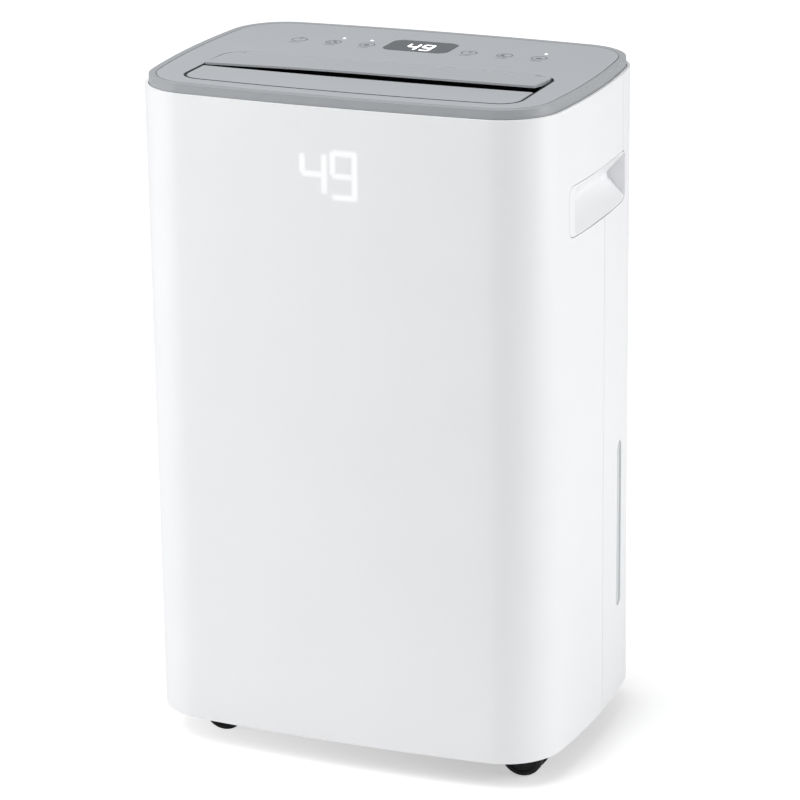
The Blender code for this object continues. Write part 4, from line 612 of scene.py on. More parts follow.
def closed_foam():
    """Closed-cell polyethylene foam, cut to size: pale, matt and pocked with 1.5 mm cells."""
    made, tree, shader, place = new_finish("polyethylene_cut_foam")
    cells = add(tree, "ShaderNodeTexVoronoi", {"Vector": place, "Scale": 1 / (1.5 * MM)})
    colour = mixed(tree, cells.outputs["Distance"], linear("EDEBE0"), linear("CFCCBE"))
    faced(tree, shader, colour, bump=(cells.outputs["Distance"], 0.5 * MM, 1.0))
    shader.inputs["Roughness"].default_value = 0.85
    return made


WHITE = housing_white()
# ABS, moulded in silver gray against a fine spark-eroded tool: an even satin with a dry grain.
SILVER = moulded("abs_spark_eroded_silver_gray", "AFB2B6", "ABAEB2", 0.7 * MM, 0.42, 0.03 * MM, IOR=1.53)
# The same ABS on the rim, from a smoother tool, with its colour painted a shade darker than the plate's:
# painted shade for the rim's darker front band.
SHADED_RIM_GRAY = moulded("abs_silver_gray_painted_shade", "A4A7AA", "A0A3A6", 1.1 * MM, 0.36, 0.015 * MM, IOR=1.53)
# Pad-printed ink, a shade darker than the plate and a little glossier.
INK = moulded("ink_pad_printed_gray", "6E7276", "686C70", 0.5 * MM, 0.3, 0.005 * MM)
# Polypropylene with talc, moulded black: soft low sheen and a coarse grain.
BLACK = moulded("polypropylene_moulded_black", "232427", "1B1C1E", 1.2 * MM, 0.55, 0.05 * MM, IOR=1.49)
# Nylon with glass, moulded black: harder and glossier than the base.
NYLON = moulded("nylon_glass_filled_black", "202124", "17181A", 0.8 * MM, 0.36, 0.04 * MM, IOR=1.53)
# Natural rubber compound, moulded: matt, dark and slightly dusty.
RUBBER = moulded("rubber_moulded_tread", "2B2B2C", "1D1D1E", 1.0 * MM, 0.78, 0.08 * MM, IOR=1.52)
# Stoved enamel on the steel dome of the compressor: black, with flow ripple.
ENAMEL = moulded("enamel_stoved_black", "1B1C1F", "131416", 5.0 * MM, 0.25, 0.05 * MM, Coat_Weight=0.4)
SMOKED = smoked_pane()
# SAN, moulded clear and frosted at the back: a pale window with a cool edge.
CLEAR = see_through("san_moulded_frosted_clear", "F1F4F6", "E6EAED", 0.16, 0.85, 25 * MM)
# Polypropylene random copolymer, moulded milky: light passes, shapes behind it don't.
TANK = see_through("polypropylene_milky_tank", "E3E9EC", "D6DDE1", 0.3, 0.86, 40 * MM)
ZINC = rolled_zinc()
FINS = coil_fins()
COPPER = drawn_copper()
BOARD = solder_mask()
NET = filter_net()
FOAM = closed_foam()
FIGURES = lit("polycarbonate_lit_figures", "FFFFFF", 2.2)
DOT = lit("polycarbonate_lit_dot", "FFFFFF", 3.0)


# Camera, floor and lights

SKY = 0.33
# The floor's glow seen by the camera, near the body and far from it: the lower near value is painted shade.
FLOOR_LIFT_AND_PAINTED_SHADE = (0.42, 0.7)
LEFT_POWER, RIGHT_POWER, TOP_POWER = 29.0, 46.0, 48.0


def aim_camera():
    """A long lens at the front right, a little above the top, rolled a hair."""
    yaw, pitch, roll = math.radians(22.59), math.radians(18.307), math.radians(-0.744)
    ahead = Vector((-math.sin(yaw) * math.cos(pitch), math.cos(yaw) * math.cos(pitch), -math.sin(pitch)))
    right = Vector((math.cos(yaw), math.sin(yaw), 0.0))
    up = right.cross(ahead)
    rolled = math.cos(roll) * right + math.sin(roll) * up
    risen = math.cos(roll) * up - math.sin(roll) * right
    camera = bpy.data.cameras.new("camera")
    camera.lens = 162.79
    holder = bpy.data.objects.new("camera", camera)
    turn = Matrix((rolled, risen, -ahead)).transposed().to_4x4()
    holder.matrix_world = Matrix.Translation((1.11134, -2.65681, 1.2362)) @ turn
    bpy.context.scene.collection.objects.link(holder)
    bpy.context.scene.camera = holder


def softbox(name, place, target, size, power):
    light = bpy.data.lights.new(name, "AREA")
    light.shape = "RECTANGLE"
    light.size, light.size_y = size
    light.energy = power
    holder = bpy.data.objects.new(name, light)
    holder.location = place
    holder.rotation_euler = (Vector(target) - Vector(place)).to_track_quat("-Z", "Y").to_euler()
    bpy.context.scene.collection.objects.link(holder)


def studio():
    """A white sweep under an even white sky, with large softboxes on both sides and above. The sweep glows
    for the camera, and less near the body, which paints shade on the floor round it.
    """
    scene = bpy.context.scene
    scene.view_settings.view_transform = "Standard"
    world = bpy.data.worlds.new("white_studio")
    scene.world = world
    world.use_nodes = True
    tree = world.node_tree
    sky = tree.nodes["Background"]
    sky.inputs["Color"].default_value = (1.0, 1.0, 1.0, 1.0)
    seen = add(tree, "ShaderNodeLightPath").outputs["Is Camera Ray"]
    tree.links.new(between(tree, seen, SKY, 1.0), sky.inputs["Strength"])
    softbox("left_softbox", (-2.4, -1.6, 1.2), (0, 0, 0.3), (1.6, 2.2), LEFT_POWER)
    softbox("right_softbox", (2.8, 0.5, 1.1), (0, 0, 0.3), (1.4, 2.2), RIGHT_POWER)
    softbox("top_softbox", (-0.6, -0.7, 2.6), (0, 0, 0.3), (2.2, 2.2), TOP_POWER)
    bpy.ops.object.select_all(action="DESELECT")
    bpy.ops.mesh.primitive_plane_add(size=14.0)
    floor = bpy.context.object
    floor.name = "floor"
    paint, tree, shader, place = new_finish("paper_sweep_painted_shade", Roughness=0.9, Specular_IOR_Level=0.1)
    fibre = add(tree, "ShaderNodeTexNoise", {"Vector": place, "Scale": 40.0})
    faced(tree, shader, mixed(tree, fibre.outputs["Fac"], linear("E6E6E6"), linear("EAEAEA")))
    shader.inputs["Emission Color"].default_value = (1.0, 1.0, 1.0, 1.0)
    seen = add(tree, "ShaderNodeLightPath").outputs["Is Camera Ray"]
    # Painted shade: the glow is weakest near a point at the body's right and grows away from it, so the floor
    # darkens round the body.
    from_shade_centre = add(tree, "ShaderNodeVectorMath", {0: place, 1: (0.3, 0.0, 0.0)}, operation="DISTANCE")
    glow = add(tree, "ShaderNodeMapRange", {"Value": from_shade_centre.outputs["Value"]})
    glow.inputs["From Min"].default_value = 0.12
    glow.inputs["From Max"].default_value = 0.45
    glow.inputs["To Min"].default_value = FLOOR_LIFT_AND_PAINTED_SHADE[0]
    glow.inputs["To Max"].default_value = FLOOR_LIFT_AND_PAINTED_SHADE[1]
    floor_glow_and_shade = maths(tree, "MULTIPLY", seen, glow.outputs["Result"])
    tree.links.new(floor_glow_and_shade, shader.inputs["Emission Strength"])
    floor.data.materials.append(paint)


# Housing


def seam_line(low, high):
    """What lies behind the stepped seam, as an outline in (y, z)."""
    ends = ((FAR, -FAR), (FAR, FAR * 2), (high, FAR * 2), (high, SEAM_STEP), (low, SEAM_STEP))
    return (low, -FAR), [(end, 1) for end in ends]


def handle_hole(name, grow=0.0, low=-FAR, high=FAR):
    corners = ((HANDLE_Y[0] - grow, HANDLE_Z[0] - grow), (HANDLE_Y[1] + grow, HANDLE_Z[1] + grow))
    return traced(name, rounded(*corners, HANDLE_R + grow), low, high, "X")


def rear_window(name, half, low, high, radius):
    return traced(name, rounded((-half, low), (half, high), radius), 0.04, FAR, "Y")


def level_hole(name, grow=0.0, low=0.1, high=FAR):
    radius = (LEVEL_Y[1] - LEVEL_Y[0]) / 2 + grow - 1e-5
    corners = ((LEVEL_Y[0] - grow, LEVEL_Z[0] - grow), (LEVEL_Y[1] + grow, LEVEL_Z[1] + grow))
    return traced(name, rounded(*corners, radius, 12), low, high, "X")


def middle_of(node):
    """Where a rear fitting sits: the middle of its box as (x, z)."""
    low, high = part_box(node)
    return (low.x + high.x) / 2, (low.z + high.z) / 2


def shells():
    """Both halves of the housing, from one tube with eased ends, parted at a seam that shows as a groove."""
    tube = block("front_housing", 0.0, BODY_LOW, LIP)
    softened(tube, 2.4 * MM, level(BODY_LOW), 5)
    softened(tube, 1.1 * MM, level(LIP), 4)
    cut(tube, block("room", WALL, BODY_LOW - 0.01, BODY_HIGH + 0.01))
    cut(tube, handle_hole("handle_holes"))
    rear = copied(tube, "rear_housing")
    cut(tube, traced("behind", seam_line(SEAM_LOW, SEAM_HIGH), -FAR, FAR, "X"))
    keep(rear, traced("behind", seam_line(SEAM_LOW + 0.05 * MM, SEAM_HIGH + 0.05 * MM), -FAR, FAR, "X"))
    groove = block("groove", -0.005, -0.1, 1.0)
    cut(groove, block("groove_floor", 0.9 * MM, -0.2, 1.1))
    edge = seam_line(SEAM_LOW + 0.55 * MM, SEAM_HIGH + 0.55 * MM)
    cut(groove, traced("behind_groove", edge, -FAR, FAR, "X"))
    cut(rear, groove)
    cut(rear, rear_window("grille_hole", GRILLE_HALF, *GRILLE_Z, 10 * MM))
    cut(rear, rear_window("bay_hole", BAY_HALF, *BAY_Z, 4 * MM))
    cut(rear, level_hole("level_hole"))
    for node, radius in (("drain_outlet", 8.4 * MM), ("cord_gland", 6.9 * MM)):
        cut(rear, disc("round_hole", middle_of(node), radius, 0.1, FAR, "Y"))
    done(tube, "housing", "white_housing", WHITE, "front_shell")
    done(rear, "housing", "white_housing", WHITE, "rear_shell")


def handle_cup(name):
    """A scoop let into the side: a rim that lies flush, and a hollow with a round bottom and round ends."""
    deep = HALF_WIDTH - HANDLE_DEPTH
    reach = HALF_WIDTH + 0.02
    cup = handle_hole(name, -0.7 * MM, deep - 3 * MM, FAR)
    keep(cup, block("skin", 0.15 * MM, HANDLE_Z[0] - 0.01, HANDLE_Z[1] + 0.01))
    rise = (HANDLE_Z[1] - HANDLE_DEEPEST) / HANDLE_DEPTH
    fall = (HANDLE_DEEPEST - HANDLE_Z[0]) / HANDLE_DEPTH
    run = reach - deep
    line = [((reach, HANDLE_DEEPEST - run * fall), 1), ((reach, HANDLE_DEEPEST + run * rise), 1)]
    front, rear = HANDLE_Y[0] + 11.5 * MM, HANDLE_Y[1] - 2.4 * MM
    scoop = traced("scoop", ((deep, HANDLE_DEEPEST), line), front, rear, "Y")
    softened(scoop, 4.5 * MM, level(deep, 0), 8)
    softened(scoop, 2.5 * MM, level(front, 1), 5)
    cut(cup, scoop)
    edges_eased(cup, 0.4 * MM, 2, 35)
    return cup


def handles():
    right = handle_cup("handle_scoop_right")
    left = mirrored(right, "handle_scoop_left")
    done(right, "housing", "white_housing", WHITE, "handle_cup_right")
    done(left, "housing", "white_housing", WHITE, "handle_cup_left")


def level_pane():
    """The water-level window: a pane with eased edges, set a little below the side."""
    pane = block("water_level_pane", 1.4 * MM, LEVEL_Z[0] - 0.01, LEVEL_Z[1] + 0.01)
    keep(pane, level_hole("pane_edge", -GAP, HALF_WIDTH - 9 * MM))
    edges_eased(pane, 0.5 * MM, 3, 50)
    done(pane, "housing", "clear_window", CLEAR, "level_window")


# Top


def bezel():
    """The rim: it stands just inside the shells' lip, slopes up from its edge and ends at a fine groove."""
    rim = block("top_rim", RIM_IN, BEZEL_LOW, TOP)
    softened(rim, RIM_WIDTH - RIM_IN, level(TOP), 1)
    for vertex in rim.data.vertices:
        if BEZEL_LOW + MM < vertex.co.z < TOP - MM:
            vertex.co.z = TOP - RIM_FALL
    softened(rim, 0.8 * MM, level(TOP - RIM_FALL), 3)
    softened(rim, 0.4 * MM, level(BEZEL_LOW), 2)
    cut(rim, block("rim_room", RIM_WIDTH, BEZEL_LOW - 0.01, TOP + 0.01))
    chamfer = block("chamfer", RIM_WIDTH - 0.5 * MM, TOP - 0.5 * MM, TOP + 0.5 * MM)
    softened(chamfer, 0.49 * MM, level(TOP - 0.5 * MM), 1)
    cut(rim, chamfer)
    ledge = block("ledge", RIM_IN + 0.2 * MM, BEZEL_LOW + 0.2 * MM, PLATE_LOW - GAP)
    cut(ledge, block("ledge_room", RIM_WIDTH + 4.5 * MM, BEZEL_LOW - 0.01, TOP + 0.01))
    join(rim, ledge)
    # The rim takes the darker copy of the silver gray, which is painted shade.
    done(rim, "housing", "light_gray_top", SHADED_RIM_GRAY, "top_bezel")


def window_outline(grow=0.0):
    x, y = WINDOW_CENTRE
    half_w, half_d = WINDOW_SIZE[0] / 2 + grow, WINDOW_SIZE[1] / 2 + grow
    return rounded((x - half_w, y - half_d), (x + half_w, y + half_d), WINDOW_R + grow, 12)


def plate():
    """The top plate, with the outlet slot, the window's seat and a hole for each lit dot."""
    face = block("top_plate", RIM_WIDTH + GAP, PLATE_LOW, TOP)
    softened(face, 0.35 * MM, level(TOP), 2)
    hole = slot_block("outlet_slot", 0.0, PLATE_LOW - 0.01, TOP + 0.01)
    cut(face, hole)
    ease = slot_block("slot_ease", 0.45 * MM, TOP - 0.5 * MM, TOP + 0.01)
    softened(ease, 0.44 * MM, level(TOP - 0.5 * MM), 3)
    cut(face, ease)
    cut(face, traced("window_seat", window_outline(0.25 * MM), PLATE_LOW - 0.01, TOP + 0.01))
    for x in DOT_PLACES:
        cut(face, disc("dot_hole", (x, DOT_ROW), DOT_R + 0.1 * MM, PLATE_LOW - 0.01, TOP + 0.01))
    done(face, "housing", "light_gray_top", SILVER, "control_panel")


def flap_rise(x):
    """How far the flap's front edge stands above the plate: it is moulded with a twist, low at the left."""
    share = min(max((x + 146 * MM) / TWIST_RUN, 0.0), 1.0)
    return TWIST_RISE * math.sin(math.pi / 2 * share)


def flap():
    """The rear blade: a thin, twisted front edge, a thicker middle and a round hinge side."""
    lip = 1.1 * MM
    blade = slot_block("outlet_flap", -BLADE_GAP, TOP - BLADE_THICK, TOP)
    softened(blade, 0.5 * MM, level(TOP), 3)
    left, right = SLOT_MIDDLE - SLOT_HALF + BLADE_GAP, SLOT_MIDDLE + SLOT_HALF - FLAP_END_GAP
    corner = (MM, 2.5 * MM, SLOT_REAR_R - FLAP_END_GAP, SLOT_REAR_R)
    front = rounded((left, FLAP_FRONT), (right, SLOT_REAR - 1.1 * MM), corner, 12, 40)
    keep(blade, bowed(traced("flap_edge", front, TOP - 0.01, TOP + 0.01), FLAP_FRONT - 0.06, SLOT_REAR))
    edge = (FLAP_FRONT - 0.01, TOP - lip)
    under = [((FLAP_FRONT + 28 * MM, TOP - BLADE_THICK - 0.5 * MM), 1), ((FLAP_FRONT - 0.01, TOP - 0.02), 1)]
    cut(blade, traced("flap_underside", (edge, under), -HALF_WIDTH, HALF_WIDTH, "X"))
    for side in (-1, 1):
        x_low, x_high = sorted((side * (SLOT_HALF - 18 * MM), side * HALF_WIDTH))
        relief = plain((x_low, FLAP_HINGE - BLADE_THICK), (x_high, SLOT_REAR + 0.01))
        cut(blade, traced("flap_relief", relief, TOP - 0.01, TOP + 0.01))
    only(blade)
    bpy.ops.object.mode_set(mode="EDIT")
    for i in range(1, 48):
        bpy.ops.mesh.select_all(action="SELECT")
        bpy.ops.mesh.bisect(plane_co=(SLOT_HALF * (i / 24 - 1), 0, 0), plane_no=(1, 0, 0))
    bpy.ops.object.mode_set(mode="OBJECT")
    for vertex in blade.data.vertices:
        share = (FLAP_HINGE - vertex.co.y) / (FLAP_HINGE - FLAP_FRONT)
        vertex.co.z += max(share, 0.0) * (flap_rise(vertex.co.x) + lip)
    join(blade, disc("flap_pin", (FLAP_HINGE, TOP - 1.8 * MM), MM, -PIN_REACH, PIN_REACH, "X", 16))
    done(blade, "rear_flap", "light_gray_top", SILVER, "louver_flap", smooth=28)


def vane():
    """The front blade, flush with the plate, with a bevel along its front and a gap round it, darkened by the
    black strip there as painted shade.
    """
    blade = slot_block("outlet_vane", -VANE_GAP, TOP - BLADE_THICK, TOP - 0.1 * MM)
    softened(blade, 0.9 * MM, level(TOP - 0.1 * MM), 3)
    rear = plain((-HALF_WIDTH, -0.2), (HALF_WIDTH, VANE_REAR), 40)
    keep(blade, bowed(traced("vane_edge", rear, TOP - 0.01, TOP + 0.01), VANE_REAR - 0.06, SLOT_REAR))
    pin_place = (VANE_REAR - BLADE_THICK / 2, TOP - 1.8 * MM)
    join(blade, disc("vane_pin", pin_place, MM, -PIN_REACH, PIN_REACH, "X", 16))
    done(blade, "front_vane", "light_gray_top", SILVER, "front_louver", smooth=28)


def slot_gap_painted_shade():
    """A black strip set in the gap round the blades, wider round the front one: painted shade, standing in
    for the shade down in the gap.
    """
    # The black plastic of this strip is painted shade.
    gap_shade = slot_block("outlet_gap_shade", -0.1 * MM, TOP - 6 * MM, TOP - 0.02 * MM)
    cut(gap_shade, slot_block("gap_shade_room", -0.8 * MM, TOP - 7 * MM, TOP + MM))
    front = slot_block("front_gap_shade", -0.1 * MM, TOP - 6 * MM, TOP - 0.02 * MM)
    cut(front, slot_block("front_room", -1.8 * MM, TOP - 7 * MM, TOP + MM))
    behind = (plain((-HALF_WIDTH, VANE_REAR), (HALF_WIDTH, 0.2)), TOP - 0.01, TOP + 0.01)
    cut(front, traced("behind_vane", *behind))
    sides = plain((-HALF_WIDTH, VANE_REAR - MM), (HALF_WIDTH, FLAP_HINGE - 5 * MM))
    keep(gap_shade, traced("flap_sides", sides, *behind[1:]))
    join(gap_shade, front)
    done(gap_shade, "housing", "black_plastic", BLACK)


def window_pane():
    """The smoked pane over the small figures, with a polished round edge."""
    top = TOP - 0.1 * MM
    pane = traced("smoked_pane", window_outline(), top - 5 * MM, top)
    softened(pane, 0.8 * MM, level(top), 4)
    done(pane, "housing", "smoked_window", SMOKED, "display_window")


def bar_outline(low, high, point):
    """A figure's bar, pointed at both ends along its long side."""
    (left, front), (right, rear) = low, high
    if right - left > rear - front:
        middle = (front + rear) / 2
        start = (left, middle)
        ends = [(left + point, front), (right - point, front), (right, middle)]
        ends += [(right - point, rear), (left + point, rear)]
    else:
        middle = (left + right) / 2
        start = (middle, front)
        ends = [(right, front + point), (right, rear - point), (middle, rear)]
        ends += [(left, rear - point), (left, front + point)]
    return start, [(end, 1) for end in ends]


def small_figures():
    """The 4 and the 9 under the smoked pane, each bar its own lit diffuser."""
    size, stroke, trim = (10.2 * MM, 21 * MM), 2.2 * MM, 0.15 * MM
    top = TOP - 0.02 * MM
    for side, character in ((-1, "4"), (1, "9")):
        centre = (WINDOW_CENTRE[0] + side * 6.4 * MM, WINDOW_CENTRE[1] - 2.5 * MM)
        for number, (middle, half_w, half_h) in enumerate(digit_bars(character, centre, size, stroke)):
            low = (middle[0] - half_w + trim, middle[1] - half_h + trim)
            high = (middle[0] + half_w - trim, middle[1] + half_h - trim)
            outline = bar_outline(low, high, stroke * 0.3)
            bar = traced(f"figure_{character}_bar_{number}", outline, top - 0.4 * MM, top)
            softened(bar, 0.06 * MM, level(top), 1)
            done(bar, "housing", "clear_window", FIGURES)


def lit_dots():
    """A domed tip on the light guide at each dot."""
    for number, x in enumerate(DOT_PLACES, 1):
        profile = [(0.0, 0.25 * MM), (0.5 * MM, 0.2 * MM), (0.9 * MM, 0.05 * MM)]
        profile += [(DOT_R, -0.2 * MM), (DOT_R, -1.0 * MM), (0.0, -1.0 * MM)]
        dot = turned(f"lit_dot_{number}", profile, (x, DOT_ROW, TOP), steps=24)
        done(dot, "housing", "clear_window", DOT)


def symbols():
    """Six touch symbols printed on the plate: general marks for power, fan, drop, timer, night and lock,
    each in a ring with a short dash under it."""
    ink_low, ink_high = TOP - 0.02 * MM, TOP + 0.05 * MM
    mark_high = ink_high - 0.01 * MM
    line = 1.1 * MM
    ring_r = 6.9 * MM

    def stroke(name, low, high):
        return traced(name, plain(low, high), ink_low, mark_high)

    for number, x in enumerate((-105.5, -74.5, -44, 47, 78.5, 108.5)):
        px, py = place = (x * MM, SYMBOL_ROW)
        mark = disc(f"touch_symbol_{number + 1}", place, ring_r, ink_low, ink_high, steps=40)
        cut(mark, disc("ring_room", place, ring_r - line, ink_low - MM, ink_high + MM, steps=40))
        if number == 0:
            join(mark, stroke("hand", (px - line / 2, py + 1 * MM), (px + line / 2, py + ring_r + 1.5 * MM)))
        elif number == 1:
            for turn in range(3):
                angle = math.radians(90 + 120 * turn)
                blade = (px + 2.9 * MM * math.cos(angle), py + 2.9 * MM * math.sin(angle))
                join(mark, disc("blade", blade, 1.7 * MM, ink_low, mark_high, steps=20))
        elif number == 2:
            join(mark, disc("drop", (px, py - 1 * MM), 2.6 * MM, ink_low, mark_high, steps=24))
        elif number == 3:
            join(mark, stroke("long_hand", (px - line / 2, py - 0.4 * MM), (px + line / 2, py + 4.4 * MM)))
            join(mark, stroke("short_hand", (px, py - line / 2), (px + 3.2 * MM, py + line / 2)))
        elif number == 4:
            moon = disc("moon", place, 3.8 * MM, ink_low, mark_high, steps=24)
            bite = (px + 1.8 * MM, py + 1.0 * MM)
            join(mark, cut(moon, disc("bite", bite, 3.1 * MM, ink_low - MM, ink_high + MM, steps=24)))
        else:
            join(mark, stroke("lock", (px - 2.6 * MM, py - 2.6 * MM), (px + 2.6 * MM, py + 1.2 * MM)))
        done(mark, "housing", "light_gray_top", INK)
        dash_y = py - ring_r - 3.4 * MM
        ends = (px - 5 * MM, dash_y - 0.6 * MM), (px + 5 * MM, dash_y + 0.6 * MM)
        dash = stroke(f"touch_dash_{number + 1}", *ends)
        done(softened(dash, 0.02 * MM, level(mark_high), 1), "housing", "light_gray_top", INK)


# Casters


def casters():
    """Twin wheels on a swivelling fork: treads with a groove, dished hubs and a flange with a ball race."""
    for name in CASTERS:
        row, side = name.split("_")[1:]
        fork_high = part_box(name + "_fork")[1]
        low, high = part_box(name + "_wheels")
        axle = ((low.x + high.x) / 2, (low.y + high.y) / 2, (low.z + high.z) / 2)
        radius, half = (high.x - low.x) / 2, (high.y - low.y) / 2
        inner = 4.5 * MM
        outer = [(0.0, half - 1.6 * MM), (0.34 * radius, half - 1.6 * MM), (0.38 * radius, half - 0.4 * MM)]
        outer += [(0.46 * radius, half), (0.56 * radius, half - 0.2 * MM), (0.62 * radius, half - 1.4 * MM)]
        outer += [(0.76 * radius, half - 1.4 * MM), (0.80 * radius, half - 0.1 * MM)]
        outer += [(radius - 1.6 * MM, half), (radius - 0.5 * MM, half - 0.5 * MM)]
        outer += [(radius, half - 1.7 * MM), (radius, half - 3.0 * MM)]
        outer += [(radius - 0.5 * MM, half - 3.4 * MM), (radius, half - 3.8 * MM), (radius, inner + 0.9 * MM)]
        outer += [(radius - 0.8 * MM, inner), (2.5 * MM, inner)]
        profile = outer + [(r, -h) for r, h in reversed(outer)]
        wheels = turned(name + "_treads", profile, axle, "Y", 56)
        done(wheels, f"{row}_{side}_wheels", "rubber", RUBBER, name + "_wheels", smooth=40)
        stem_x = axle[0] - 11 * MM
        flange = fork_high.z - 21.5 * MM
        rings = [(0.0, fork_high.z), (3.2 * MM, fork_high.z), (4 * MM, fork_high.z - 0.8 * MM)]
        rings += [(4 * MM, flange + 3 * MM), (12.4 * MM, flange + 3 * MM)]
        rings += [(13 * MM, flange + 2.4 * MM), (13 * MM, flange + 0.5 * MM)]
        rings += [(12.2 * MM, flange), (9 * MM, flange - 0.6 * MM), (0.0, flange - 0.6 * MM)]
        fork = turned(name + "_frame", rings, (stem_x, axle[1], 0.0), steps=40)
        web = (stem_x - 9 * MM, flange), [
            ((stem_x - 6 * MM, axle[2] + 6 * MM), 1), ((axle[0] - 5.8 * MM, axle[2] - 2.1 * MM), 4),
            ((axle[0], axle[2]), math.radians(160), 14), ((axle[0] + 9 * MM, axle[2] + 10 * MM), 2),
            ((stem_x + 9 * MM, flange), 3),
        ]
        blade = traced("web", web, axle[1] - 3.7 * MM, axle[1] + 3.7 * MM, "Y")
        softened(blade, 0.6 * MM, level(axle[1] - 3.7 * MM, 1), 2)
        softened(blade, 0.6 * MM, level(axle[1] + 3.7 * MM, 1), 2)
        join(fork, blade)
        cut(fork, disc("axle_bore", (axle[0], axle[2]), 2.8 * MM, axle[1] - 0.02, axle[1] + 0.02, "Y", 24))
        done(fork, f"{row}_{side}_swivel", "black_plastic", NYLON, name + "_fork")


# Rear


def slice_of_rear(name, half, low, high, radius, thickness):
    """A piece of the rear wall inside a rounded window, following the body's bow."""
    wall = block(name, 0.0, low - 0.01, high + 0.01)
    cut(wall, block("wall_room", thickness, low - 0.02, high + 0.02))
    return keep(wall, rear_window("window", half, low, high, radius))


def grille():
    """The intake grille: eleven rows of slots with eased edges, parted by a rib."""
    half, low, high = GRILLE_HALF - GAP, GRILLE_Z[0] + GAP, GRILLE_Z[1] - GAP
    face = slice_of_rear("rear_grille", half, low, high, 9.6 * MM, WALL)
    border, rib, slot, rows = 12 * MM, 6 * MM, 8 * MM, 11
    column = (2 * (half - border) - rib) / 2
    pitch = (high - low - 2 * border - slot) / (rows - 1)
    slots = None
    for row in range(rows):
        z = low + border + row * pitch
        for x in (border - half, rib / 2):
            hole = traced("slot", rounded((x, z), (x + column, z + slot), 3.9 * MM, 6), 0.08, 0.2, "Y")
            if slots is None:
                slots = hole
                continue
            hole.select_set(True)
            slots.select_set(True)
            bpy.context.view_layer.objects.active = slots
            bpy.ops.object.join()
    cut(face, slots)
    edges_eased(face, 0.45 * MM, 2, 50)
    done(face, "filter_panel", "white_housing", WHITE, "intake_grille")


def filter_frame():
    """The washable filter: a frame with eased bars that carries a woven net."""
    low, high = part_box("air_filter")
    half = high.x
    outline = rounded((-half, low.z), (half, high.z), 4 * MM)
    frame_bars = traced("filter_frame", outline, low.y, high.y, "Y")
    columns, rows, border, bar = 5, 4, 8 * MM, 4 * MM
    cell_w = (2 * half - 2 * border - (columns - 1) * bar) / columns
    cell_h = (high.z - low.z - 2 * border - (rows - 1) * bar) / rows
    for i in range(columns):
        for k in range(rows):
            x, z = -half + border + i * (cell_w + bar), low.z + border + k * (cell_h + bar)
            cell = rounded((x, z), (x + cell_w, z + cell_h), 1.5 * MM, 3)
            cut(frame_bars, traced("cell", cell, low.y - 0.01, high.y + 0.01, "Y"))
    edges_eased(frame_bars, 0.4 * MM, 2, 50)
    done(frame_bars, "filter_panel", "filter_mesh", NYLON, "air_filter")
    middle = (low.y + high.y) / 2
    edge = plain((5 * MM - half, low.z + 5 * MM), (half - 5 * MM, high.z - 5 * MM))
    net = traced("filter_net", edge, middle - GAP, middle + GAP, "Y")
    edges_eased(net, 0.1 * MM, 1, 50)
    done(net, "filter_panel", "filter_mesh", NET)


def tank():
    """The water tank: a milky box with round edges, a panel that closes the bay and a grip recess."""
    lid_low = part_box("tank_lid")[1].z - 2.2 * MM - GAP
    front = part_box("tank_lid")[0].y
    half = HALF_WIDTH - 12 * MM
    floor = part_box("water_tank")[0].z + 18.5 * MM
    body = block("milky_tank", WALL + 0.8 * MM, floor, lid_low)
    softened(body, 3 * MM, level(floor), 4)
    sides = rounded((-half, front), (half, FAR), (6 * MM, 6 * MM, MM, MM))
    keep(body, traced("tank_sides", sides, 0.0, FAR))
    room = block("tank_room", WALL + 0.8 * MM + THIN_WALL, floor + THIN_WALL, FAR)
    inner = rounded((-half + THIN_WALL, front + THIN_WALL), (half - THIN_WALL, FAR), (4 * MM, 4 * MM, MM, MM))
    keep(room, traced("room_sides", inner, 0.0, FAR * 2))
    cut(body, room)
    panel = slice_of_rear("panel", BAY_HALF - GAP, BAY_Z[0] + GAP, BAY_Z[1] - GAP, 4 * MM, WALL + 1.2 * MM)
    join(body, panel)
    grip_half, grip_floor = 62 * MM, HALF_DEPTH - 16 * MM
    grip_low, grip_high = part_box("tank_handle")[0].z - 4 * MM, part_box("tank_handle")[1].z + 2 * MM
    near = (-grip_half - THIN_WALL, grip_low - THIN_WALL)
    far = (grip_half + THIN_WALL, grip_high + THIN_WALL)
    pocket = rounded(near, far, 7 * MM)
    join(body, traced("pocket", pocket, grip_floor - THIN_WALL, HALF_DEPTH - 3 * MM, "Y"))
    opening = rounded((-grip_half, grip_low), (grip_half, grip_high), 5 * MM)
    recess = traced("recess", opening, grip_floor, FAR, "Y")
    softened(recess, 2 * MM, level(grip_floor, 1), 4)
    cut(body, recess)
    done(body, "tank", "tank_plastic", TANK, "water_tank")


def bail():
    """The tank's bail: a round-edged bar with two arms and a pin on each."""
    low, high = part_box("tank_handle")
    half = 61 * MM
    front, rear = low.y, high.y
    loop = rounded((-half, low.z), (half, high.z), (12 * MM, 12 * MM, 3 * MM, 3 * MM))
    made = traced("tank_bail_bar", loop, front, rear, "Y")
    bar_end = half - 6 * MM
    inside = rounded((-bar_end, low.z + 9 * MM), (bar_end, high.z + 0.02), (5 * MM, 5 * MM, MM, MM))
    cut(made, traced("bail_gap", inside, 0.0, FAR, "Y"))
    edges_eased(made, 1.6 * MM, 4, 50)
    axis = ((front + rear) / 2, high.z - 4 * MM)
    for x_low, x_high in ((low.x, -half + 2 * MM), (half - 2 * MM, high.x)):
        join(made, disc("bail_pin", axis, 1.6 * MM, x_low, x_high, "X", 20))
    done(made, "tank_bail", "light_gray_top", SILVER, "tank_handle")


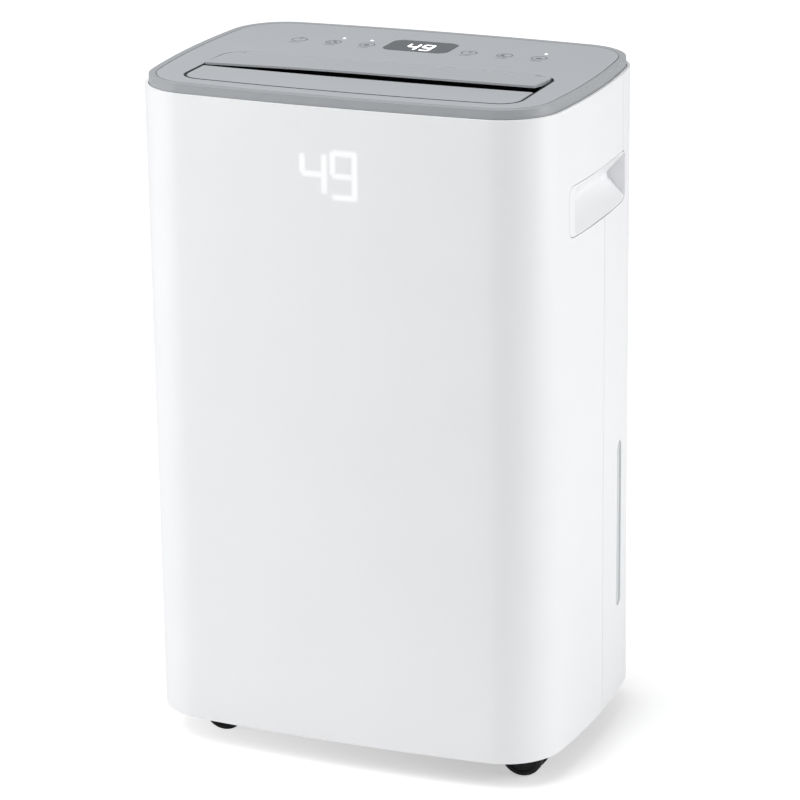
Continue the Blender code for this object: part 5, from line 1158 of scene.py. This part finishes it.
def drain():
    """The drain stub and its cap, which has a pull rib across it."""
    low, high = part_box("drain_outlet")
    x, z = middle_of("drain_outlet")
    bore, out = 5.8 * MM, 8 * MM
    profile = [(bore, high.y), (out - 0.6 * MM, high.y), (out, high.y - 0.6 * MM)]
    profile += [(out, high.y - 4 * MM), (11 * MM, high.y - 4.4 * MM)]
    profile += [(11 * MM, high.y - 6.6 * MM), (out, high.y - 7 * MM)]
    profile += [(out, low.y), (bore, low.y), (bore, high.y)]
    stub = turned("drain_stub", profile, (x, 0.0, z), "Y", 40)
    done(stub, "housing", "light_gray_top", SILVER, "drain_outlet")
    low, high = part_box("drain_cap")
    seat = high.y - 2.4 * MM
    profile = [(0.0, low.y), (4.4 * MM, low.y), (5.0 * MM, low.y + MM), (5.4 * MM, seat), (7.8 * MM, seat)]
    profile += [(7.8 * MM, high.y - 0.9 * MM), (7.2 * MM, high.y - 0.5 * MM), (5.6 * MM, high.y - 0.5 * MM)]
    profile += [(5.2 * MM, high.y - 1.1 * MM), (0.0, high.y - 1.1 * MM)]
    cap = turned("drain_plug_cap", profile, (x, 0.0, z), "Y", 40)
    rib = rounded((x - 5.4 * MM, z - 0.9 * MM), (x + 5.4 * MM, z + 0.9 * MM), 0.8 * MM, 4)
    join(cap, traced("rib", rib, seat, high.y, "Y"))
    done(cap, "drain_plug", "light_gray_top", SILVER, "drain_cap")


def gland():
    """The cord's strain relief: a collar with finger ribs and a flared mouth."""
    low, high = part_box("cord_gland")
    x, z = middle_of("cord_gland")
    bore, out = 3.8 * MM, 6.5 * MM
    profile = [(bore + 1.2 * MM, high.y), (out - 0.6 * MM, high.y), (out, high.y - 0.6 * MM)]
    profile += [(out, high.y - 5 * MM), (8.3 * MM, high.y - 5 * MM)]
    profile += [(8.3 * MM, high.y - 7.4 * MM), (out, high.y - 7.6 * MM), (out, low.y)]
    profile += [(bore, low.y), (bore, high.y - 1.4 * MM), (bore + 1.2 * MM, high.y)]
    collar = turned("cord_strain_relief", profile, (x, 0.0, z), "Y", 40)
    done(collar, "housing", "black_plastic", NYLON, "cord_gland")


def screws():
    """Rear screws: a pan head with a cross recess."""
    for number in range(1, 5):
        node = f"rear_screw_{number}"
        low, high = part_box(node)
        x, z = middle_of(node)
        head, seat = 3.4 * MM, high.y - 1.6 * MM
        profile = [(0.0, high.y), (1.4 * MM, high.y - 0.1 * MM), (2.5 * MM, high.y - 0.5 * MM)]
        profile += [(head, high.y - 1.1 * MM), (head, seat), (1.7 * MM, seat)]
        profile += [(1.7 * MM, low.y + 1.5 * MM), (0.0, low.y)]
        screw = turned(f"pan_head_screw_{number}", profile, (x, 0.0, z), "Y", 32)
        for half_w, half_h in ((1.9 * MM, 0.35 * MM), (0.35 * MM, 1.9 * MM)):
            slot = plain((x - half_w, z - half_h), (x + half_w, z + half_h))
            cut(screw, traced("cross", slot, high.y - 1.2 * MM, high.y + MM, "Y"))
        done(screw, "housing", "galvanised_steel", ZINC, node)


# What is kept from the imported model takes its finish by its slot


def kept_finishes():
    by_slot = {
        "white_housing": WHITE, "light_gray_top": SILVER, "black_plastic": BLACK, "smoked_window": SMOKED,
        "clear_window": CLEAR, "tank_plastic": TANK, "circuit_board": BOARD, "galvanised_steel": ZINC,
        "coil_aluminium": FINS, "copper": COPPER, "compressor_enamel": ENAMEL, "rubber": RUBBER,
        "filter_mesh": NET, "float_foam": FOAM,
    }
    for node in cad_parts.values():
        for slot in node.material_slots:
            name = slot.material.name.split(".")[0]
            slot.material = by_slot[name]


aim_camera()
studio()
kept_finishes()
shells()
handles()
level_pane()
bezel()
plate()
flap()
vane()
slot_gap_painted_shade()
window_pane()
small_figures()
lit_dots()
symbols()
casters()
grille()
filter_frame()
tank()
bail()
drain()
gland()
screws()
